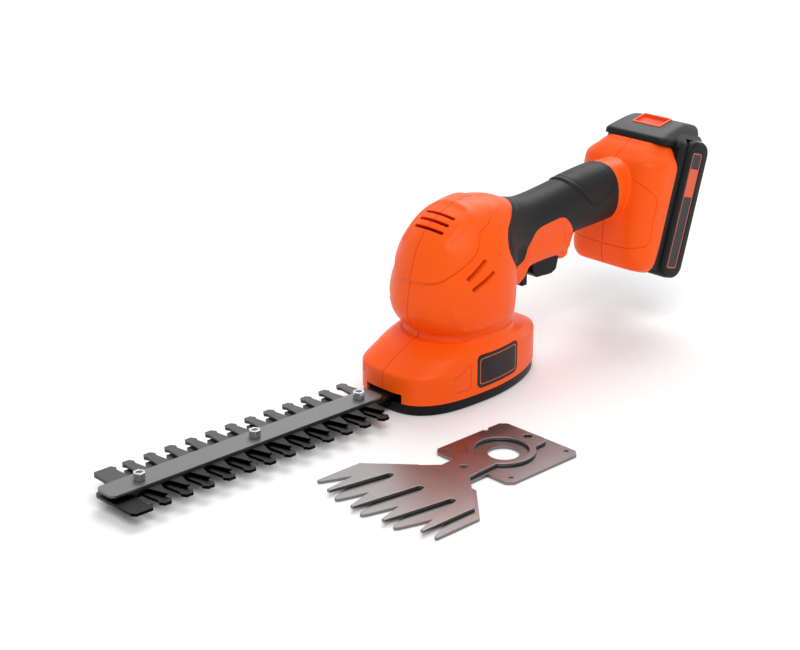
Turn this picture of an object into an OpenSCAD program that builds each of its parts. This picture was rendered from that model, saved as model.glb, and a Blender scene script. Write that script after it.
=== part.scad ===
// Cordless shear and shrub trimmer with its loose grass shear blade set.
// The blade points along -X, the battery along +X, and the sole rests on Z = 0.

/* [Fits] */
// Gap between fixed pieces that sit in one another
fit = 0.15; // [0.1:0.05:0.25]
// Gap around everything that moves
gap = 0.4; // [0.35:0.05:0.6]
// Running clearance of shafts in their bearings
run_fit = 0.05; // [0.02:0.01:0.1]
// Overrun of cuts past the faces that they open
over = 1; // [0.5:0.5:2]

/* [Housing] */
// Wall of the moulded halves
wall = 2.4; // [2:0.1:3]
// Thickness of the soft grip skins
grip_t = 2; // [1.5:0.1:2.4]
// Radius of the screw bosses
boss_r = 5.4; // [5:0.1:6]
// Radius of the housing screw shanks
screw_r = 1.75; // [1.5:0.05:2]
// Distance of the screw head seats from the middle seam
screw_seat = 9; // [8:0.5:10]

/* [Base] */
// Length of the base
base_l = 141; // [136:1:150]
// Width of the base
base_w = 81; // [78:1:88]
// Height of the crease over the gear plate, at the front
crease_room = 3.1; // [2:0.1:5]
// Rise of the crease from front to rear
crease_rise = 3.2; // [2:0.1:4]
// Edge rounding of the crease
crease = 1.5; // [1:0.1:2]
// Height of the sole cover
sole_h = 7.4; // [6.6:0.1:7.4]
// Height of the shoulder between the crease and the neck band
shoulder_h = 15.7; // [14:0.1:18]
// Height of the neck band
neck_h = 4.8; // [4:0.1:6]
// Length of the neck band
neck_l = 78; // [76:1:82]
// Width of the neck band
neck_w = 75.4; // [74:0.2:78]
// Offset of the neck band behind the middle of the head
neck_set = 4; // [3:0.1:5]
// Stroke of the sole's latch
latch_stroke = 2.5; // [1.5:0.1:3]
// Half width of the blade slot in the front wall
slot_w = 16.8; // [16:0.1:18]
// Height of the blade slot over the drive gear's underside
slot_h = 1.6; // [1:0.1:3]
// Room between the drive gear and the front of the base
gear_room = 8.18; // [7:0.02:10]

/* [Head] */
// Position of the middle of the head
head_x = -3.5; // [-5:0.5:-2]
// Length of the head
head_l = 88; // [86:1:94]
// Width of the head
head_w = 85; // [83:1:92]
// Height of the head above the neck band
head_h = 82.8; // [80:0.2:88]
// Width of the vent slots
vent_w = 2.4; // [1.6:0.1:3]
// Length of the top vent slots
vent_l = 27; // [20:1:30]

/* [Handle] */
// Distance from the middle of the head to the start of the handle
handle_set = 23.5; // [21:0.5:27]
// Length of the handle up to the foot
handle_l = 150; // [146:1:154]
// Height of the handle's middle line over the neck band
handle_rise = 59.8; // [57:0.2:62]
// Full height of the grip
grip_h = 43; // [41:0.5:46]
// Full width of the grip
grip_w = 37; // [35:0.5:40]
// Width of the bow under the grip
bow_w = 28; // [27:0.5:32]
// Distance from the start of the handle to the start of the bow
bow_set = 6; // [4:0.5:8]
// Length of the bow
bow_l = 86; // [84:1:90]
// Depth of the bow under the handle's middle line
bow_drop = 49.5; // [48:0.5:51]

/* [Foot] */
// Distance from the end of the handle to the battery face
foot_reach = 14.6; // [12:0.2:17]
// Drop of the battery face's middle under the handle's middle line
foot_drop = 11; // [9:0.5:13]
// Lean of the battery face
foot_tilt = 16.5; // [14:0.5:19]
// Height of the foot
foot_h = 95; // [93:1:99]
// Depth of the foot
foot_d = 29; // [28:0.5:32]
// Width of the foot
foot_w = 73; // [71:0.5:76]
// Corner radius of the foot
foot_r = 18; // [14:0.5:20]

/* [Battery] */
// Height of the battery's rear tray
pack_h = 104; // [103:0.5:108]
// Depth of the battery behind the foot
pack_d = 36; // [35:0.5:39]
// Wall and room at each end of the cells
pack_side = 3.7; // [3:0.1:5.5]
// Room for the circuit board in front of the cells
board_room = 3.6; // [3:0.1:5]
// Corner radius of the rear tray
tray_r = 10; // [8:0.5:11]
// Wall of the battery cases
pack_wall = 2; // [1.6:0.1:2.2]
// Height of the battery's cap over the tray
cap_h = 10.6; // [9:0.2:12]
// Diameter of one cell
cell_d = 18; // [17.6:0.1:18.4]
// Length of one cell
cell_l = 65; // [63:0.5:66]
// Half width of the battery's rails
rail_w = 24; // [22:0.5:26]
// Depth of the battery's rails
rail_d = 6.4; // [5.5:0.1:7]
// Width of the release button
button_w = 26; // [22:0.5:28]
// Length of the release button
button_l = 15.5; // [13:0.5:17]
// Stroke of the release button
button_stroke = 2.5; // [1.5:0.1:2.8]

/* [Shrub blade] */
// Spacing of the teeth
pitch = 16; // [15.8:0.1:16.2]
// Thickness of each toothed blade
blade_t = 2; // [1.8:0.1:2.1]
// Height of the lower blade over the housing's lower edge
blade_lift = 0.2; // [0.1:0.1:0.4]
// Gap between the sliding blades
blade_gap = 0.1; // [0.06:0.02:0.16]
// Reach of the long teeth from the middle
tooth_l = 30; // [28:0.5:32]
// Reach of the short teeth from the middle
short_l = 23; // [22:0.5:24]
// Half width of the blade spines
spine_w = 10; // [9.5:0.1:11]
// Half width of the stiffening bar
bar_w = 9; // [8.6:0.1:9.4]
// Thickness of the stiffening bar
bar_t = 1.5; // [1.2:0.1:2]
// Distance from the front of the base to the first lower tooth
tooth_set = 24.5; // [23.5:0.5:26.5]
// Offset of the upper blade's teeth, at its foremost
blade_shift = 11.8; // [11:0.1:12]
// Across flats of the blade bolts
bolt_af = 7; // [6.5:0.1:7.5]
// Height of the blade bolts' heads
bolt_h = 5; // [4:0.1:5.5]
// Shank radius of the blade bolts
bolt_r = 2; // [1.8:0.05:2.1]
// Thickness of the yoke that drives the upper blade
yoke_t = 1.8; // [1.5:0.1:2.2]
// Radius of the rivets that hold the yoke
rivet_r = 1.5; // [1.2:0.1:1.8]

/* [Drive] */
// Offset of the motor axis in front of the middle of the head
motor_set = 0.5; // [0:0.1:1.5]
// Radius of the motor can
motor_r = 18.5; // [17.5:0.1:19]
// Length of the motor can
motor_h = 54.6; // [52:0.2:56]
// Radius of the motor shaft
shaft_r = 1.6; // [1.5:0.05:1.8]
// Size of the gear teeth, as pitch diameter over tooth count
gear_m = 0.8; // [0.78:0.01:0.82]
// Thickness of the drive gear
gear_h = 5.8; // [5:0.1:6]
// Gap between the yoke and the drive gear
gear_gap = 0.55; // [0.4:0.05:1]
// Gap between the drive gear and the gear plate
plate_gap = 0.8; // [0.5:0.1:1.2]
// Thickness of the gear plate
plate_t = 3.4; // [3:0.1:3.6]
// Throw of the crank pin
crank = 4; // [3.6:0.1:4]
// Radius of the crank pin
pin_r = 3; // [2.6:0.1:3.2]
// Radius of the gear shaft
axle_r = 4; // [3.6:0.1:4.2]
// Spread of the locating posts along the tool
post_x = 26; // [25:0.5:27]
// Spread of the locating posts across the tool
post_y = 21; // [20.5:0.5:22]
// Radius of the locating pins
post_r = 1.6; // [1.4:0.05:1.7]
// Radius of the cooling fan
fan_r = 24; // [22:0.5:26]

/* [Controls] */
// Length of the trigger
trigger_l = 28; // [27:0.2:28.4]
// Full height of the trigger
trigger_h = 22; // [21.6:0.2:22.6]
// Half width of the trigger
trigger_w = 8.5; // [7.5:0.1:9]
// Radius of the trigger's hinge pin
hinge_r = 2; // [1.7:0.05:2.1]
// Radius of the trigger spring
spring_r = 3; // [2.6:0.1:3.4]
// Wire radius of the trigger spring
wire_r = 0.4; // [0.35:0.05:0.45]
// Length of the lock-off tab
lock_l = 5.2; // [4.8:0.1:5.4]
// Travel of the lock-off tab
lock_stroke = 4; // [3:0.1:4]
// Length of the switch module
switch_l = 25; // [24:0.5:26]
// Height of the switch module
switch_h = 15; // [14:0.5:16]
// Half width of the switch module
switch_w = 8; // [7:0.1:8.4]

/* [Grass shears] */
// Position of the shear plate's drive hole along the tool
shear_x = -66.5; // [-70:0.5:-62]
// Position of the shear plate's drive hole across the tool
shear_y = -108.2; // [-116:0.2:-106]
// Width of the comb
comb_w = 104.4; // [100:0.2:108]
// Distance from the drive hole to the middle tooth tip
comb_l = 123; // [119:0.5:127]
// Length of the mounting plate
shear_plate_l = 65.5; // [63:0.5:68]
// Width of the mounting plate
shear_plate_w = 67; // [65:0.5:69]
// Radius of the drive hole
shear_hole = 10.3; // [9.8:0.1:10.8]
// Thickness of the comb
comb_t = 2; // [1.6:0.1:2.4]
// Thickness of the swinging blade
swing_t = 2.3; // [1.8:0.1:2.6]
// Radius of the pivot
pivot_r = 2.7; // [2.4:0.1:3]
// Swing of the blade as it lies in the photo
swing_rest = 3; // [0:0.5:4]

/* [Hidden] */
$fn = 48;
ring_n = 44;
tube_n = 28;
front_round = 3;
rear_round = 1.85;
tube_round = 2.3;

// Heights, from the sole up
base_z = sole_h + gap;
blade_z = base_z + blade_lift;
upper_z = blade_z + blade_t + blade_gap;
upper_top = upper_z + blade_t;
bar_z = upper_top + blade_gap;
yoke_z = upper_top + fit;
yoke_top = yoke_z + yoke_t;
gear_z = yoke_top + gear_gap;
slot_z = gear_z + slot_h;
plate_z = gear_z + gear_h + plate_gap;
plate_top = plate_z + plate_t;
base_h = plate_top + crease_room;
neck_z = base_h + shoulder_h;
head_z = neck_z + neck_h;
handle_z = head_z + handle_rise;
foot_z = handle_z - foot_drop;

// Places along the tool, from the head out
pinion_teeth = 12;
gear_teeth = 66;
addendum_share = 0.9;
motor_x = head_x - motor_set;
gear_x = motor_x - gear_m * (pinion_teeth + gear_teeth) / 2;
gear_tip = gear_m * (gear_teeth / 2 + addendum_share);
front_reach = gear_room + gear_tip - gear_x;
base_c = base_l / 2 - front_reach;
wide_share = -0.071;
wide_x = wide_share * base_l;
latch_share = 0.39;
latch_x = base_c + latch_share * base_l;
neck_x = head_x + neck_set;
handle_x = head_x + handle_set;
bow_x = handle_x + bow_set;
foot_x = handle_x + handle_l + foot_reach;
tooth_x = -front_reach - tooth_set;

// Controls on the bow: shares of the bow's length and drop
trigger_at_share = 0.48256;
trigger_drop_share = 0.9697;
lock_at_share = 0.40698;
lock_drop_share = 1.0505;
trigger_x = bow_x + trigger_at_share * bow_l;
trigger_z = handle_z - trigger_drop_share * bow_drop;
lock_x = bow_x + lock_at_share * bow_l;
lock_z = handle_z - lock_drop_share * bow_drop;

// Head rows: height, front, rear and width as shares of the head's sizes
head_shares = [[0, 0.78, 0.94, 0.87], [0.036, 0.87, 0.955, 0.925], [0.084, 0.94, 0.977, 0.972],
    [0.169, 1, 0.989, 1], [0.289, 0.989, 1, 1], [0.386, 0.957, 1.01, 0.988], [0.53, 0.875, 1.034, 0.941],
    [0.687, 0.775, 1.057, 0.84], [0.807, 0.614, 1.057, 0.72], [0.892, 0.427, 1.034, 0.6],
    [0.952, 0.17, 0.943, 0.46], [0.988, -0.045, 0.76, 0.31], [1, -0.2, 0.58, 0.16]];
// Handle rows: position along the handle, top, bottom and width shares
tube_shares = [[0, 1, 1.3, 1.4], [0.093, 0.91, 1.256, 1.24], [0.18, 0.744, 1.21, 1.08],
    [0.267, 0.62, 1.186, 1], [0.367, 0.64, 1.163, 0.973], [0.5, 0.758, 1.116, 0.973],
    [0.633, 0.893, 1.07, 0.984], [0.767, 0.995, 1.023, 1], [0.88, 1.023, 0.977, 1.016],
    [1, 1.023, 0.977, 1.016]];
// Bow rows: position along the bow, depth and width shares
bow_shares = [[0, 0.77, 1.36], [0.093, 0.89, 1.29], [0.186, 0.97, 1.18], [0.256, 1, 1.07],
    [0.326, 0.94, 1], [0.372, 0.8, 1], [0.442, 0.74, 1], [0.63, 0.72, 1], [0.79, 0.73, 1],
    [0.837, 0.77, 0.964], [0.895, 0.774, 0.93], [0.942, 0.71, 0.9], [1, 0.485, 0.86]];
// Foot rows: height along the battery face, depth and width shares
foot_shares = [[0, 0.45, 0.8], [0.03, 0.55, 0.9], [0.09, 0.655, 0.975], [0.24, 0.79, 1], [0.45, 0.9, 1],
    [0.66, 0.965, 1], [0.81, 1, 1], [0.895, 0.86, 0.975], [0.958, 0.655, 0.93], [1, 0.5, 0.85]];
foot_low_share = 0.558;
foot_low = foot_low_share * foot_h;
// Grip outline seen from the side: shares of the handle's length and of half the grip's height
grip_shares = [[0.2, 1.6], [0.187, 0.74], [0.12, 0.4], [0.075, 0.02], [0.044, -0.32], [0.105, -1.22],
    [0.19, -0.86], [0.272, -0.3], [0.347, -0.17], [0.44, -0.17], [0.507, -0.3], [0.553, -0.6],
    [0.598, -1.09], [0.613, -1.8], [0.853, -1.8], [0.853, 1.6]];
// Line of the raised palm panel on the grip, in the same shares
panel_shares = [[0.453, 0.837], [0.5, 0.651], [0.553, 0.419], [0.603, 0.209], [0.633, 0.06], [0.668, -0.056],
    [0.707, -0.033], [0.76, 0.019], [0.847, 0.084]];
// Screw positions in the head, and one each in the bow, the foot and the base: shares of their sizes
head_screw_shares = [[-0.341, 0.215], [0.381, 0.118], [0.244, 0.819], [-0.187, 0.722]];
bow_screw_share = [0.848, 0.364];
foot_screw_share = [0.745, 0.29];
base_screw_share = [0.383, 0.795];
screw_at = concat([for (s = head_screw_shares) [head_x + s[0] * head_l, head_z + s[1] * head_h]],
    [[bow_x + bow_screw_share[0] * bow_l, handle_z - bow_screw_share[1] * bow_drop],
    [foot_x - foot_screw_share[0] * foot_d, handle_z - foot_screw_share[1] * foot_h],
    [base_c + base_screw_share[0] * base_l, base_screw_share[1] * base_h]]);
// Ends of the two side vents: shares of the head's length and height
vent_shares = [[[-0.227, 0.493], [-0.081, 0.616]], [[-0.2045, 0.408], [-0.028, 0.517]]];
screw_head = screw_r * 2;
screw_top = screw_head * 0.75;
screw_reach = screw_seat * 1.4;

// Drive
pressure = 20;
// Thinning of each tooth against its gear's pitch, so that the gears run free
thin_share = 0.09;
motor_z = plate_top + fit;
motor_top = motor_z + motor_h;
can_wall_share = 0.135;
can_wall = can_wall_share * motor_r;
fan_z = motor_top + 2 * gap + wall;
fan_h = fan_r / 3;
stroke = 2 * crank;
tooth_n = 12;
yoke_w = pin_r + gap;
tang_w = yoke_w + 3.2 * blade_t;
yoke_l = stroke + pin_r + gap;
yoke_front = gear_x - crank - yoke_l - 3.5 * blade_t;
rivet_x = yoke_front - 2 * rivet_r;
last_x = tooth_x - (tooth_n + 0.0625) * pitch;
bolt_shares = [0.1875, -5.375, -10.9375];
bolts_x = [for (s = bolt_shares) tooth_x + s * pitch];

// Battery, in the frame of the battery face
pack_w = cell_l + 2 * pack_side;
tray_d = cell_d + 2 * pack_wall + board_room;
tray_x = pack_d - tray_d;
pack_low_share = 0.523;
pack_low = -pack_low_share * pack_h;
pack_top = pack_low + pack_h;
case_x = gap;
rail_low_share = 0.7;
rail_low = -rail_low_share * foot_low;
cell_step = cell_d + 2 * fit;
cell_n = floor((pack_h - 2 * pack_wall - 2 * gap) / cell_step);
cell_x = tray_x + pack_wall + cell_d / 2 + gap;
cell_mid = (pack_low + pack_top) / 2 - fit;
// Cap rows: height, front and rear depth and width shares of the cap
cap_shares = [[-0.62, -0.36, 0.97, 0.94], [-0.28, -0.36, 0.97, 0.93], [0, -0.25, 0.965, 0.88],
    [0.3, -0.06, 0.955, 0.8], [0.6, 0.14, 0.93, 0.7], [0.85, 0.34, 0.88, 0.6], [1, 0.5, 0.8, 0.48]];

// Controls
switch_z = trigger_z + 1.17 * trigger_h;
switch_x = trigger_x - trigger_l / 5;
hinge_x = trigger_x + 0.84 * trigger_l;
hinge_z = trigger_z + 0.82 * trigger_h;
trigger_shelf_share = 0.73;
shelf_z = trigger_z + trigger_shelf_share * trigger_h;
spring_x = trigger_x + 0.44 * trigger_l;
spring_turns = 6;
spring_low = shelf_z + wire_r + fit;
spring_top = switch_z - wire_r - fit;
spring_gap = (spring_top - spring_low) / spring_turns - 2 * wire_r;
echo(spring_gap = spring_gap);
plunger_share = 0.86;

// Shears
comb_teeth = 5;
tooth_y = comb_w * 0.98 / (comb_teeth - 1);
tip_drop_share = 0.0955;
pivot_x = -0.295 * comb_l;
swing_z = comb_t + fit;
swing_top = swing_z + swing_t;
tail_x = 0.213 * comb_l;

function spow(v, p) = sign(v) * pow(abs(v), p);
function mix(a, b, k) = a * (1 - k) + b * k;

// Point of the base outline at an angle, moved in by inset
function base_pt(t, inset) = let (c = cos(t), e = 2 / (c < 0 ? front_round : rear_round),
    a = base_l / 2 + sign(-c) * wide_x - inset)
    [base_c + wide_x + a * spow(c, e), (base_w / 2 - inset) * spow(sin(t), e)];
function neck_pt(t, inset) = [neck_x + (neck_l / 2 - inset) * cos(t), (neck_w / 2 - inset) * sin(t)];
function base_ring(z, inset, k, lift) = [for (i = [0:ring_n - 1]) let (t = 360 * i / ring_n,
    p = mix(base_pt(t, inset), neck_pt(t, inset), k))
    [p[0], p[1], z + lift * ((p[0] - base_c) / base_l + 0.5)]];
function outline(inset) = [for (i = [0:ring_n - 1]) base_pt(360 * i / ring_n, inset)];
function oval_ring(z, x0, x1, b) = [for (i = [0:ring_n - 1]) let (t = 360 * i / ring_n)
    [(x0 + x1) / 2 + (x1 - x0) / 2 * cos(t), b * sin(t), z]];
function tube_ring(x, z0, z1, b) = [for (i = [0:tube_n - 1]) let (t = 360 * i / tube_n, e = 2 / tube_round)
    [x, b * spow(cos(t), e), (z0 + z1) / 2 + (z1 - z0) / 2 * spow(sin(t), e)]];
// Rounded rectangle, anticlockwise
function rrect(x0, x1, y0, y1, r, n) = [for (k = [0:3]) for (i = [0:n]) let (a = 90 * (k + i / n))
    [(k == 0 || k == 3 ? x1 - r : x0 + r) + r * cos(a), (k < 2 ? y1 - r : y0 + r) + r * sin(a)]];
// Section of the foot: flat against the battery, rounded at the front
function foot_ring(s, d, b, x1, r) = [for (p = concat([[x1, -b], [x1, b]],
    [for (i = [0:8]) [-d + r - r * sin(90 * i / 8), b - r + r * cos(90 * i / 8)]],
    [for (i = [0:8]) [-d + r - r * cos(90 * i / 8), -b + r - r * sin(90 * i / 8)]])) [p[0], p[1], s]];

// Closed skin over a list of rings with equal point counts
module loft(rings) {
    n = len(rings[0]);
    m = len(rings);
    polyhedron(points = [for (r = rings) each r], faces = concat([[for (j = [0:n - 1]) j]],
        [for (i = [0:m - 2]) for (j = [0:n - 1]) let (k = (j + 1) % n)
            each [[i * n + j, (i + 1) * n + j, (i + 1) * n + k], [i * n + j, (i + 1) * n + k, i * n + k]]],
        [[for (j = [n - 1:-1:0]) (m - 1) * n + j]]), convexity = 8);
}

// Plate between two points along Y
module across(y0, y1) {
    translate([0, y1, 0]) rotate([90, 0, 0]) linear_extrude(y1 - y0) children();
}

module rod_y(x, z, r, y0, y1) {
    translate([x, y0, z]) rotate([-90, 0, 0]) cylinder(r = r, h = y1 - y0);
}

module box(x0, x1, y0, y1, z0, z1) {
    translate([x0, y0, z0]) cube([x1 - x0, y1 - y0, z1 - z0]);
}

module foot_frame() {
    translate([foot_x, 0, foot_z]) rotate([0, foot_tilt, 0]) children();
}

// The outer forms of the housing; inset moves each skin inwards
module base_form(inset, low) {
    loft([base_ring(low, inset, 0, 0), base_ring(base_h - crease - inset / 2, inset, 0, crease_rise),
        base_ring(base_h - inset, inset + crease / 3, 0, crease_rise),
        base_ring(mix(base_h, neck_z, 0.52) - inset, inset, 0.45, crease_rise / 2),
        base_ring(neck_z - inset / 2, inset, 1, 0), base_ring(head_z + over, inset, 1, 0)]);
}

module head_form(inset, rear) {
    loft([for (r = head_shares) oval_ring(head_z + r[0] * (head_h - inset),
        head_x - r[1] * head_l / 2 + inset, head_x + r[2] * head_l / 2 - inset - rear,
        r[3] * head_w / 2 - inset)]);
}

module tube_form(inset) {
    loft([for (r = tube_shares) tube_ring(handle_x + r[0] * handle_l, handle_z - r[2] * grip_h / 2 + inset,
        handle_z + r[1] * grip_h / 2 - inset, r[3] * grip_w / 2 - inset)]);
}

module bow_form(inset) {
    loft([for (r = bow_shares) tube_ring(bow_x + r[0] * bow_l, handle_z - r[1] * bow_drop + inset,
        handle_z - inset, r[2] * bow_w / 2 - inset)]);
}

module foot_form(inset) {
    foot_frame() loft([for (r = foot_shares) foot_ring(inset - foot_low + r[0] * (foot_h - 2 * inset),
        r[1] * foot_d - inset, r[2] * foot_w / 2 - inset, -inset, min(foot_r, r[1] * foot_d * 0.8) - inset)]);
}

module housing_form(inset) {
    head_form(inset, 0);
    base_form(inset, base_z);
    tube_form(inset);
    bow_form(inset);
    foot_form(inset);
}

module housing_hollow() {
    head_form(wall, grip_t);
    base_form(wall, base_z - over);
    tube_form(wall + grip_t);
    bow_form(wall);
    foot_form(wall);
}

// Side view of the soft grip
module grip_zone(grow) {
    across(-base_w, base_w) offset(delta = grow)
        polygon([for (s = grip_shares) [handle_x + s[0] * handle_l, handle_z + s[1] * grip_h / 2]]);
}

module badge_zone(grow) {
    across(-base_w, base_w) polygon(rrect(base_c + wide_x - base_l * 0.075 - grow,
        base_c + wide_x + base_l * 0.24 + grow, base_h * 0.41 - grow, base_h * 1.27 + grow,
        crease * 3 + grow, 5));
}

// Bosses, motor cradle and switch ribs inside the halves
module housing_ribs() {
    $fn = 20;
    intersection() {
        housing_form(wall / 2);
        difference() {
            union() {
                for (p = screw_at) rod_y(p[0], p[1], boss_r, -base_w, base_w);
                rod_y(hinge_x, hinge_z, hinge_r * 2, -base_w, base_w);
                for (k = [0.62, 0.9]) difference() {
                    box(-base_l, head_x + head_l / 2, -base_w, base_w, motor_z + k * motor_h,
                        motor_z + k * motor_h + wall);
                    for (a = [35:110:255]) translate([motor_x, 0, motor_z + k * motor_h - over])
                        rotate(a) translate([motor_r + boss_r, 0, 0])
                            cylinder(r = boss_r, h = wall + 2 * over);
                }
                for (k = [0.2, 0.75]) box(switch_x + k * switch_l, switch_x + k * switch_l + wall,
                    -base_w, base_w, switch_z + switch_h / 4, handle_z + grip_h);
            }
            translate([motor_x, 0, motor_z]) cylinder(r = motor_r + fit, h = motor_h, $fn = 64);
            box(switch_x - fit, switch_x + switch_l + fit, -switch_w - fit, switch_w + fit,
                switch_z - fit, switch_z + switch_h + fit);
            box(hinge_x - trigger_l, hinge_x + trigger_l, -trigger_w - gap, trigger_w + gap, trigger_z,
                hinge_z + hinge_r * 2 + gap);
        }
    }
}

module slot_y(x, z, lean, w, l, d) {
    translate([x, 0, z]) rotate([0, lean, 0]) hull() for (s = [-1, 1])
        translate([0, s * (l - w) / 2, -d]) cylinder(r = w / 2, h = 2 * d, $fn = 16);
}

module housing_cuts() {
    $fn = 20;
    for (k = [0:2]) slot_y(head_x - head_l * (0.136 + 0.062 * k),
        head_z + head_h * (0.905 - 0.042 * k), -40 - 6 * k, vent_w, vent_l, boss_r);
    for (s = [-1, 1]) for (v = vent_shares) hull() for (e = v)
        translate([head_x + e[0] * head_l, s * head_w * 0.47, head_z + e[1] * head_h]) rotate([90, 0, 0])
            cylinder(r = vent_w / 2, h = head_w * 0.28, center = true, $fn = 16);
    box(-base_l, gear_x, -slot_w, slot_w, base_z - over, slot_z);
    hull() for (x = [trigger_x - gap * 3, trigger_x + trigger_l + gap * 2]) for (z = [trigger_z, hinge_z])
        rod_y(x + (x < hinge_x ? hinge_r : -hinge_r), z, hinge_r, -trigger_w - gap, trigger_w + gap);
    box(lock_x - lock_stroke - gap, lock_x + lock_l + gap, -trigger_w * 0.6 - gap,
        trigger_w * 0.6 + gap, lock_z, trigger_z + trigger_h * 0.62);
    box(lock_x - lock_stroke - gap, lock_x + lock_l + gap, -trigger_w - gap, trigger_w + gap,
        trigger_z + trigger_h * 0.62, trigger_z + trigger_h * 0.62 + wall + 2 * gap);
    rod_y(hinge_x, hinge_z, hinge_r + fit, -bow_w / 2 + wall, bow_w / 2 - wall);
    for (p = screw_at) {
        rod_y(p[0], p[1], screw_r + fit, -screw_reach - over, screw_seat + over);
        rod_y(p[0], p[1], screw_head + 2 * fit, screw_seat, base_w);
    }
    foot_frame() {
        box(-rail_d - wall - gap, -wall - fit, -rail_w - gap, rail_w + gap, rail_low - gap, foot_h);
        box(-wall - over, over, -rail_w * 0.76 - gap, rail_w * 0.76 + gap, rail_low - gap, foot_h);
    }
    difference() {
        badge_zone(fit);
        base_form(crease / 2, 0);
    }
    difference() {
        grip_zone(0);
        housing_form(grip_t + fit);
        box(foot_x - foot_d * 1.2, foot_x * 2, -base_w, base_w, 0, handle_z * 2);
        box(-base_l, base_l, -base_w, base_w, 0, head_z);
    }
}

module housing_half(s) {
    color([0.98, 0.4, 0.16]) difference() {
        intersection() {
            union() {
                difference() {
                    housing_form(0);
                    housing_hollow();
                }
                housing_ribs();
            }
            box(-base_l, foot_x * 2, s < 0 ? -base_w : fit / 2, s < 0 ? -fit / 2 : base_w, 0, handle_z * 2);
        }
        housing_cuts();
    }
}

// Left moulded half, the side that the photo shows
module housing_left() {
    housing_half(-1);
}

// Right moulded half, with the screw recesses
module housing_right() {
    housing_half(1);
}

// Screws that join the two halves
module housing_screws() {
    color([0.25, 0.25, 0.27]) for (p = screw_at) {
        rod_y(p[0], p[1], screw_r, -screw_reach, screw_seat + screw_top / 2);
        difference() {
            rod_y(p[0], p[1], screw_head, screw_seat + fit, screw_seat + fit + screw_top);
            for (a = [0, 90]) translate([p[0], screw_seat + screw_top, p[1]]) rotate([0, a, 0])
                cube([screw_head, screw_top, screw_r / 2], center = true);
        }
    }
}

module grip_half(s) {
    color([0.22, 0.22, 0.22]) intersection() {
        difference() {
            housing_form(0);
            housing_form(grip_t);
            difference() {
                for (k = [0:len(panel_shares) - 2]) hull() for (e = [panel_shares[k], panel_shares[k + 1]])
                    rod_y(handle_x + e[0] * handle_l, handle_z + e[1] * grip_h / 2, wire_r,
                        s < 0 ? -grip_w : 0, s < 0 ? 0 : grip_w, $fn = 8);
                housing_form(grip_t * 0.3);
            }
        }
        grip_zone(-fit);
        box(handle_x, foot_x - foot_d * 1.2 - gap, s < 0 ? -base_w : fit / 2,
            s < 0 ? -fit / 2 : base_w, head_z, handle_z * 2);
    }
}

// Soft skin on the left of the handle
module grip_left() {
    grip_half(-1);
}

// Soft skin on the right of the handle
module grip_right() {
    grip_half(1);
}

// Bare plates in the recesses on both sides of the base
module badge_plates() {
    color([0.15, 0.13, 0.13]) intersection() {
        badge_zone(0);
        difference() {
            base_form(-fit, 0);
            base_form(crease / 2 - fit, 0);
        }
    }
}

function plate_outline(inset) = [for (p = outline(inset)) [min(p[0], motor_x + motor_r + boss_r), p[1]]];

// Plate that carries the motor, the gear and the blade set
module gear_plate() {
    color([0.55, 0.56, 0.58]) difference() {
        union() {
            translate([0, 0, plate_z]) linear_extrude(plate_t) polygon(plate_outline(wall + 2 * fit));
            for (x = [-post_x, post_x]) for (y = [-post_y, post_y]) translate([gear_x + x, y, 0]) {
                translate([0, 0, blade_z + fit]) cylinder(r = post_r, h = plate_z - blade_z);
                translate([0, 0, blade_z + blade_t + fit])
                    cylinder(r = post_r * 1.8, h = plate_z - blade_z - blade_t);
            }
        }
        translate([motor_x, 0, plate_z - over]) cylinder(r = shaft_r * 4 + fit, h = plate_t + 2 * over);
        translate([gear_x, 0, plate_z - over]) cylinder(r = axle_r * 1.6 + fit, h = plate_t + 2 * over);
        for (s = [-1, 1]) translate([motor_x, s * motor_r * 0.55, plate_z - over])
            cylinder(r = screw_r * 0.8 + fit, h = plate_t + 2 * over);
    }
}

// Motor can with its front bearing boss
module motor_can() {
    color([0.6, 0.6, 0.62]) translate([motor_x, 0, motor_z]) difference() {
        union() {
            cylinder(r = motor_r, h = motor_h - can_wall);
            translate([0, 0, -plate_t / 2]) cylinder(r = shaft_r * 4, h = plate_t);
        }
        translate([0, 0, can_wall]) cylinder(r = motor_r - can_wall, h = motor_h);
        translate([0, 0, -motor_h]) cylinder(r = shaft_r + run_fit, h = 2 * motor_h);
        for (s = [-1, 1]) translate([0, s * motor_r * 0.55, -over])
            cylinder(r = screw_r * 0.8 + run_fit, h = can_wall + 2 * over);
    }
}

// Moulded end of the motor, with the rear bearing
module motor_endcap() {
    color([0.2, 0.2, 0.2]) translate([motor_x, 0, motor_top - can_wall + run_fit]) difference() {
        union() {
            cylinder(r = motor_r, h = can_wall - run_fit);
            translate([0, 0, -can_wall]) cylinder(r = motor_r - can_wall - fit, h = 2 * can_wall - run_fit);
        }
        translate([0, 0, -motor_h]) cylinder(r = shaft_r + run_fit, h = 2 * motor_h);
    }
}

// Wound armature and commutator on the shaft
module motor_armature() {
    color([0.65, 0.4, 0.2]) translate([motor_x, 0, motor_z]) difference() {
        union() {
            translate([0, 0, motor_h * 0.18]) cylinder(r = motor_r * 0.74, h = motor_h * 0.55);
            translate([0, 0, motor_h * 0.18]) cylinder(r = motor_r * 0.32, h = motor_h * 0.68);
        }
        cylinder(r = shaft_r + run_fit / 2, h = motor_h);
    }
}

// Motor shaft
module motor_shaft() {
    color([0.75, 0.75, 0.77]) translate([motor_x, 0, gear_z - gap])
        cylinder(r = shaft_r, h = fan_z + fan_h - gear_z);
}

// Screws that hold the motor to the gear plate
module motor_screws() {
    color([0.3, 0.3, 0.32]) for (s = [-1, 1]) translate([motor_x, s * motor_r * 0.55, 0]) {
        translate([0, 0, plate_z - screw_r])
            cylinder(r = screw_r * 0.8, h = plate_t + can_wall + screw_r / 2);
        translate([0, 0, plate_z - screw_r - fit]) cylinder(r = screw_r * 1.4, h = screw_r);
    }
}

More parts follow.
